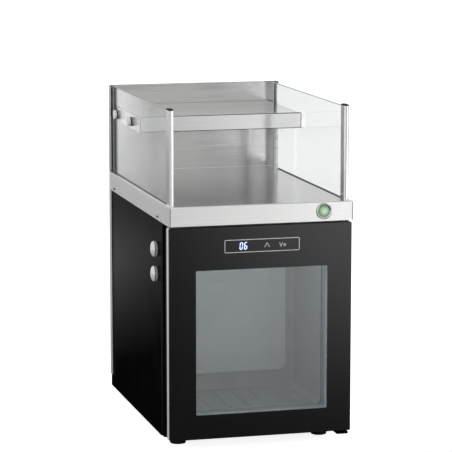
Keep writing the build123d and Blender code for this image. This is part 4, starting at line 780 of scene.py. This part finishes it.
pane_low, pane_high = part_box("door_outer_glass")
print_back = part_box("door_print")[1].y
border = 2 * pane_corner
window_points = [vert.co for vert in nodes["door_print"].data.vertices
                 if abs(vert.co.x) < pane_high.x - border
                 and pane_low.z + border < vert.co.z < pane_high.z - border]
window_low = Vector([min(point[n] for point in window_points) for n in range(3)])
window_high = Vector([max(point[n] for point in window_points) for n in range(3)])

black_glass = mottled("black_backed_glass", 25.0, print_shades, (0.015, 0.030))
form = bmesh.new()
rims = [rim_loop(form, window_low, window_high, window_corner, 0, print_back),
        rim_loop(form, window_low, window_high, window_corner, 0, pane_low.y),
        rim_loop(form, pane_low, pane_high, pane_corner, arris, pane_low.y),
        rim_loop(form, pane_low, pane_high, pane_corner, 0, pane_low.y + arris),
        rim_loop(form, pane_low, pane_high, pane_corner, 0, pane_high.y - arris),
        rim_loop(form, pane_low, pane_high, pane_corner, arris, print_back)]
join_loops(form, [*rims, rims[0]])
fit(make_piece("printed_pane", form), black_glass, "door", "black_print", "door_outer_glass", "door_print")

door_glass = clear_glass("door_glass")
form = bmesh.new()
make_rod(form, [rim_loop(form, window_low, window_high, window_corner, window_clearance, depth)
                for depth in (pane_low.y, pane_high.y)])
fit(make_piece("clear_window", form), door_glass, "door", "clear_glass", "door_outer_glass")
coat(door_glass, "door_inner_glass")

# Door edge: an aluminium section bent round the pane's edge, its corners rounded and its joint below.
# It is bead blasted and anodised in a duller silver than the posts, and a black lip behind it carries
# the inner frame.
band_shades = ((0.76, 0.76, 0.77), (0.84, 0.84, 0.85))
edge_band = 0.0125
edge_break = 0.0004
edge_rail = 0.0140
lip_inset = 0.0007
edge_low, edge_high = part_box("door_edge_frame")


def edge_ring(name, inset, front, back):
    """A closed ring round the door with its outer edges broken."""
    inner = Vector((edge_rail, 0, edge_rail))
    form = bmesh.new()
    ring = [rim_loop(form, edge_low, edge_high, pane_corner, inset + edge_break, front),
            rim_loop(form, edge_low, edge_high, pane_corner, inset, front + edge_break),
            rim_loop(form, edge_low, edge_high, pane_corner, inset, back - edge_break),
            rim_loop(form, edge_low, edge_high, pane_corner, inset + edge_break, back),
            rim_loop(form, edge_low + inner, edge_high - inner, window_corner, 0, back),
            rim_loop(form, edge_low + inner, edge_high - inner, window_corner, 0, front)]
    join_loops(form, [*ring, ring[0]])
    return make_piece(name, form)


edge_silver = mottled("blasted_edge_silver", 900.0, band_shades, (0.38, 0.48), fine_relief, metallic=0.12)
band_back = edge_low.y + edge_band
band = edge_ring("door_edge_band", 0, edge_low.y, band_back)
fit(band, edge_silver, "door", "aluminium", "door_edge_frame")
lip = edge_ring("door_edge_lip", lip_inset, band_back, edge_high.y)
fit(lip, moulding, "door", "black_plastic", "door_edge_frame")

# Glazing spacer and bead: pale blue-grey sections between the panes and behind them, round the window.
# They are extruded plastic, mitred at the corners and pressed into the door's inner frame.
bead = mottled("pale_glazing_bead", 420.0, ((0.62, 0.70, 0.76), (0.70, 0.78, 0.84)), (0.32, 0.46))
coat(bead, "glazing_bead", "door_spacer")

# Display: a thin silver frame printed on the glass, two lit digits and two touch marks.
# The digits glow through the glass; the marks are a chevron up, and a chevron down with a star of frost.
silver_shades = ((0.62, 0.62, 0.62), (0.74, 0.74, 0.74))
mark_shades = ((0.62, 0.63, 0.63), (0.72, 0.73, 0.73))
mark_glow = (0.85, 0.9, 1.0, 1.0)
mark_strength = 0.12
digit_shades = ((0.55, 0.66, 0.95), (0.68, 0.78, 1.0))
digit_glow = (0.42, 0.58, 1.0, 1.0)
digit_strength = 1.3
line_rise = 0.00008
mitre_limit = 0.3  # least cosine of half a bend up to which a line's corner is drawn out
frame_inset = Vector((0.0040, 0, 0.0034))
frame_line = 0.0009
frame_corner = 0.0016
mark_line = 0.0007
up_mark = 0.0078  # from the panel's middle, as the other marks and the digits
up_size = (0.0040, 0.0034)
down_mark = 0.0300
down_size = (0.0024, 0.0032)
frost_mark = 0.0358
frost_drop = 0.0006
frost_reach = 0.0026
frost_line = mark_line * 0.8
frost_spokes = 3
digit_size = (0.0052, 0.0118)
digit_line = 0.0015
digit_slant = 0.10
bar_gap = digit_line * 0.35
digits = ((-0.0350, "abcdef"), (-0.0280, "acdefg"))  # where each starts, and which of its bars are lit
bar_ends = {"a": ((0, 2), (1, 2)), "b": ((1, 2), (1, 1)), "c": ((1, 1), (1, 0)), "d": ((0, 0), (1, 0)),
            "e": ((0, 1), (0, 0)), "f": ((0, 2), (0, 1)), "g": ((0, 1), (1, 1))}
glass_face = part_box("door_outer_glass")[0].y
panel_low, panel_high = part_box("display_module")
panel = (panel_low + panel_high) / 2


def ribbon(form, points, width, closed=False):
    """A flat line of that width through points in the plane of the glass, a little proud of it."""
    path = [Vector(point) for point in points]
    count = len(path)
    fronts = []
    backs = []
    for n, point in enumerate(path):
        before = path[n - 1] if closed or n else None
        after = path[(n + 1) % count] if closed or n < count - 1 else None
        arriving = (point - before).normalized() if before is not None else (after - point).normalized()
        leaving = (after - point).normalized() if after is not None else arriving
        along = (arriving + leaving).normalized()
        across = Vector((-along.y, along.x)) * (width / 2 / max(mitre_limit, along.dot(arriving)))
        for side in (across, -across):
            edge = point + side
            fronts.append(form.verts.new((edge.x, glass_face - line_rise, edge.y)))
            backs.append(form.verts.new((edge.x, glass_face, edge.y)))
    for n in range(count if closed else count - 1):
        a, b = 2 * n, 2 * ((n + 1) % count)
        form.faces.new((fronts[a], fronts[a + 1], fronts[b + 1], fronts[b]))
        form.faces.new((fronts[a], fronts[b], backs[b], backs[a]))
        form.faces.new((fronts[a + 1], backs[a + 1], backs[b + 1], fronts[b + 1]))
        form.faces.new((backs[a], backs[b], backs[b + 1], backs[a + 1]))
    if not closed:
        for n in (0, 2 * count - 2):
            form.faces.new((fronts[n], backs[n], backs[n + 1], fronts[n + 1]))


def chevron(form, middle, wide, rise):
    """A touch mark of two strokes that meet above its middle, or below it if the rise is negative."""
    left = middle + Vector((-wide, -rise))
    right = middle + Vector((wide, -rise))
    ribbon(form, [left, middle + Vector((0, rise)), right], mark_line)


silver = mottled("silver_print", 800.0, silver_shades, (0.30, 0.42), metallic=0.6)
form = bmesh.new()
frame_points = rounded_frame(panel_low + frame_inset, panel_high - frame_inset, frame_corner)
ribbon(form, frame_points, frame_line, closed=True)
fit(make_piece("display_frame", form), silver, "door", "aluminium")

white_mark = mottled("white_mark_print", 800.0, mark_shades, (0.35, 0.45))
set_shader(white_mark, Emission_Color=mark_glow, Emission_Strength=mark_strength)
form = bmesh.new()
chevron(form, Vector((panel.x + up_mark, panel.z)), up_size[0], up_size[1])
chevron(form, Vector((panel.x + down_mark, panel.z)), down_size[0], -down_size[1])
frost = Vector((panel.x + frost_mark, panel.z - frost_drop))
for spoke in range(frost_spokes):
    angle = tau / 2 * (spoke + 0.5) / frost_spokes
    reach = Vector((cos(angle), sin(angle))) * frost_reach
    ribbon(form, [frost - reach, frost + reach], frost_line)
fit(make_piece("touch_marks", form), white_mark, "door", "aluminium")

glow = mottled("lit_digits", 1500.0, digit_shades, 0.4)
set_shader(glow, Emission_Color=digit_glow, Emission_Strength=digit_strength)
wide, tall = digit_size
form = bmesh.new()
for start, bars in digits:
    for bar in bars:
        corners = []
        for column, row in bar_ends[bar]:
            z = (row / 2 - 0.5) * (tall - digit_line)
            x = start + column * (wide - digit_line) + z * digit_slant
            corners.append(Vector((panel.x + x, panel.z + z)))
        gap = (corners[1] - corners[0]).normalized() * bar_gap
        ribbon(form, [corners[0] + gap, corners[1] - gap], digit_line)
fit(make_piece("display_digits", form), glow, "door", "light_lens")

# Studio: a pale floor that runs out of sight, a large soft key lamp from the front right, a weaker one
# from the left, a broad one overhead and a small low one in front, the only one that shows in mirrors.
# The camera stands where a product picture is taken.
floor_white = 0.90
floor_half = 14.0
floor_front = -0.285
floor_drop = 0.0002
floor_lift = 0.88
floor_through_glass = 0.84  # share of that lift seen through a pane
floor_run = 5.0
floor_sheen = ((0.10, 0.0), (0.175, 0.28), (0.25, 0.70), (0.30, 1.0), (0.36, 0.92), (0.42, 0.62),
               (0.50, 0.42), (0.72, 0.66), (0.86, 0.95))  # share of the run, and the mirrored floor's level
sheen_slant = 0.2244  # the dark stripe in the mirrored floor leans to the left by this share of its length
stripe = ((-0.19, -0.09), (-0.30, -0.45))
stripe_dark = 0.15
target = Vector((0, 0, 0.28))
lamps = (("key", (1.20, -2.15, 1.40), 2.0, 16.0, False), ("side", (-2.2, -0.6, 1.5), 1.4, 8.0, False),
         ("overhead", (0.1, 0.1, 2.3), 1.8, 8.0, False), ("front", (1.20, -2.00, 0.05), 0.8, 4.8, True))
daylight = 0.48
panel_right = (0.16, 0.36)  # where each part of the mirrored room begins and is full, as a direction
panel_low_edge = (-0.28, -0.12)
skyline = (-0.12, -0.04)
room_front = (-0.90, -0.80)
room_low_edge = (-0.26, -0.12)
room_top = (0.70, 0.92)
room_levels = (0.13, 2.0)
ceiling_levels = (1.0, 0.30)
camera_place = (-0.9652, -3.6353, 0.9127)
camera_yaw = 14.863
camera_pitch = 8.998
camera_lens = 188.1
camera_sensor = 36.0
camera_reach = 100.0


def reckon(owner, operation, *values, **settings):
    """One step of arithmetic on values in a finish or in the world."""
    return add_node(owner, "Math", dict(enumerate(values)), operation=operation, **settings).outputs[0]


def fade(owner, value, span, levels=(0.0, 1.0), rule="SMOOTHSTEP"):
    """Runs from the first to the second level while a value crosses a span."""
    ends = {"From Min": span[0], "From Max": span[1], "To Min": levels[0], "To Max": levels[1]}
    return add_node(owner, "MapRange", {"Value": value, **ends}, interpolation_type=rule).outputs["Result"]


def split(owner, source):
    """The three parts of a place or a direction in a finish or in the world."""
    place = add_node(owner, "TexCoord", {}).outputs[source]
    return add_node(owner, "SeparateXYZ", {"Vector": place}).outputs


form = bmesh.new()
floor_corners = ((-floor_half, floor_front), (floor_half, floor_front),
                 (floor_half, floor_half), (-floor_half, floor_half))
form.faces.new([form.verts.new((x, y, -floor_drop)) for x, y in floor_corners])
floor = make_piece("floor", form)
pale = new_finish("pale_floor", 0.9, shine=0.0)
set_shader(pale, Base_Color=(floor_white, floor_white, floor_white, 1.0), Emission_Color=(1, 1, 1, 1))
rays = add_node(pale, "LightPath", {}).outputs
glazed = reckon(pale, "MULTIPLY", rays["Is Transmission Ray"], floor_through_glass)
shown = reckon(pale, "MAXIMUM", rays["Is Camera Ray"], glazed)
feed(pale, reckon(pale, "MULTIPLY", shown, floor_lift), shader_of(pale).inputs["Emission Strength"])
spot = split(pale, "Object")
slanted = reckon(pale, "MULTIPLY_ADD", spot["Y"], sheen_slant, spot["X"])
sides = [fade(pale, slanted, span, (stripe_dark, 1.0), "LINEAR") for span in stripe]
strength = reckon(pale, "MAXIMUM", *sides)
ramp = add_node(pale, "ValToRGB", {"Fac": fade(pale, spot["Y"], (0.0, floor_run), rule="LINEAR")})
while len(ramp.color_ramp.elements) < len(floor_sheen):
    ramp.color_ramp.elements.new(0.5)
for stop, (place, level) in zip(ramp.color_ramp.elements, floor_sheen):
    stop.position = place
    stop.color = (level, level, level, 1.0)
mirror_floor = add_node(pale, "Emission", {"Color": ramp.outputs["Color"], "Strength": strength})
reflected = reckon(pale, "SUBTRACT", rays["Is Glossy Ray"], rays["Is Transmission Ray"], use_clamp=True)
looks = {0: reflected, 1: shader_of(pale).outputs["BSDF"], 2: mirror_floor.outputs["Emission"]}
either = add_node(pale, "MixShader", looks).outputs["Shader"]
feed(pale, either, pale.node_tree.nodes["Material Output"].inputs["Surface"])
floor.data.materials.append(pale)

world = bpy.data.worlds.new("studio")
bpy.context.scene.world = world
world.use_nodes = True
sky = world.node_tree.nodes["Background"]
sky.inputs["Color"].default_value = (1, 1, 1, 1)
toward = split(world, "Generated")
panel_glow = reckon(world, "MULTIPLY", fade(world, toward["X"], panel_right),
                    fade(world, toward["Z"], panel_low_edge))
around = reckon(world, "MAXIMUM", fade(world, toward["Z"], skyline), fade(world, toward["Y"], room_front))
beyond = reckon(world, "MULTIPLY", around, fade(world, toward["Z"], room_low_edge))
room = fade(world, panel_glow, (0.0, 1.0), room_levels)
ceiling = fade(world, toward["Z"], room_top, ceiling_levels)
mirrored = add_node(world, "Mix", {"Factor": beyond, "A": room, "B": ceiling}).outputs[0]
rays = add_node(world, "LightPath", {}).outputs
unseen = add_node(world, "Mix", {"Factor": rays["Is Glossy Ray"], "A": daylight, "B": mirrored}).outputs[0]
seen = reckon(world, "MAXIMUM", rays["Is Camera Ray"], rays["Is Transmission Ray"])
brightness = add_node(world, "Mix", {"Factor": seen, "A": unseen, "B": 1.0}).outputs[0]
feed(world, brightness, sky.inputs["Strength"])

for name, place, size, power, in_mirrors in lamps:
    lamp = bpy.data.lights.new(name, "AREA")
    lamp.shape = "DISK"
    lamp.size = size
    lamp.energy = power
    holder = bpy.data.objects.new(name, lamp)
    holder.location = place
    holder.visible_glossy = in_mirrors
    holder.visible_transmission = in_mirrors
    holder.rotation_euler = (target - Vector(place)).to_track_quat("-Z", "Y").to_euler()
    bpy.context.scene.collection.objects.link(holder)

camera = bpy.data.objects.new("camera", bpy.data.cameras.new("camera"))
camera.location = camera_place
camera.rotation_euler = (radians(90 - camera_pitch), 0, radians(-camera_yaw))
camera.data.lens = camera_lens
camera.data.sensor_width = camera_sensor
camera.data.clip_end = camera_reach
bpy.context.scene.collection.objects.link(camera)
bpy.context.scene.camera = camera
bpy.context.scene.view_settings.view_transform = "Standard"
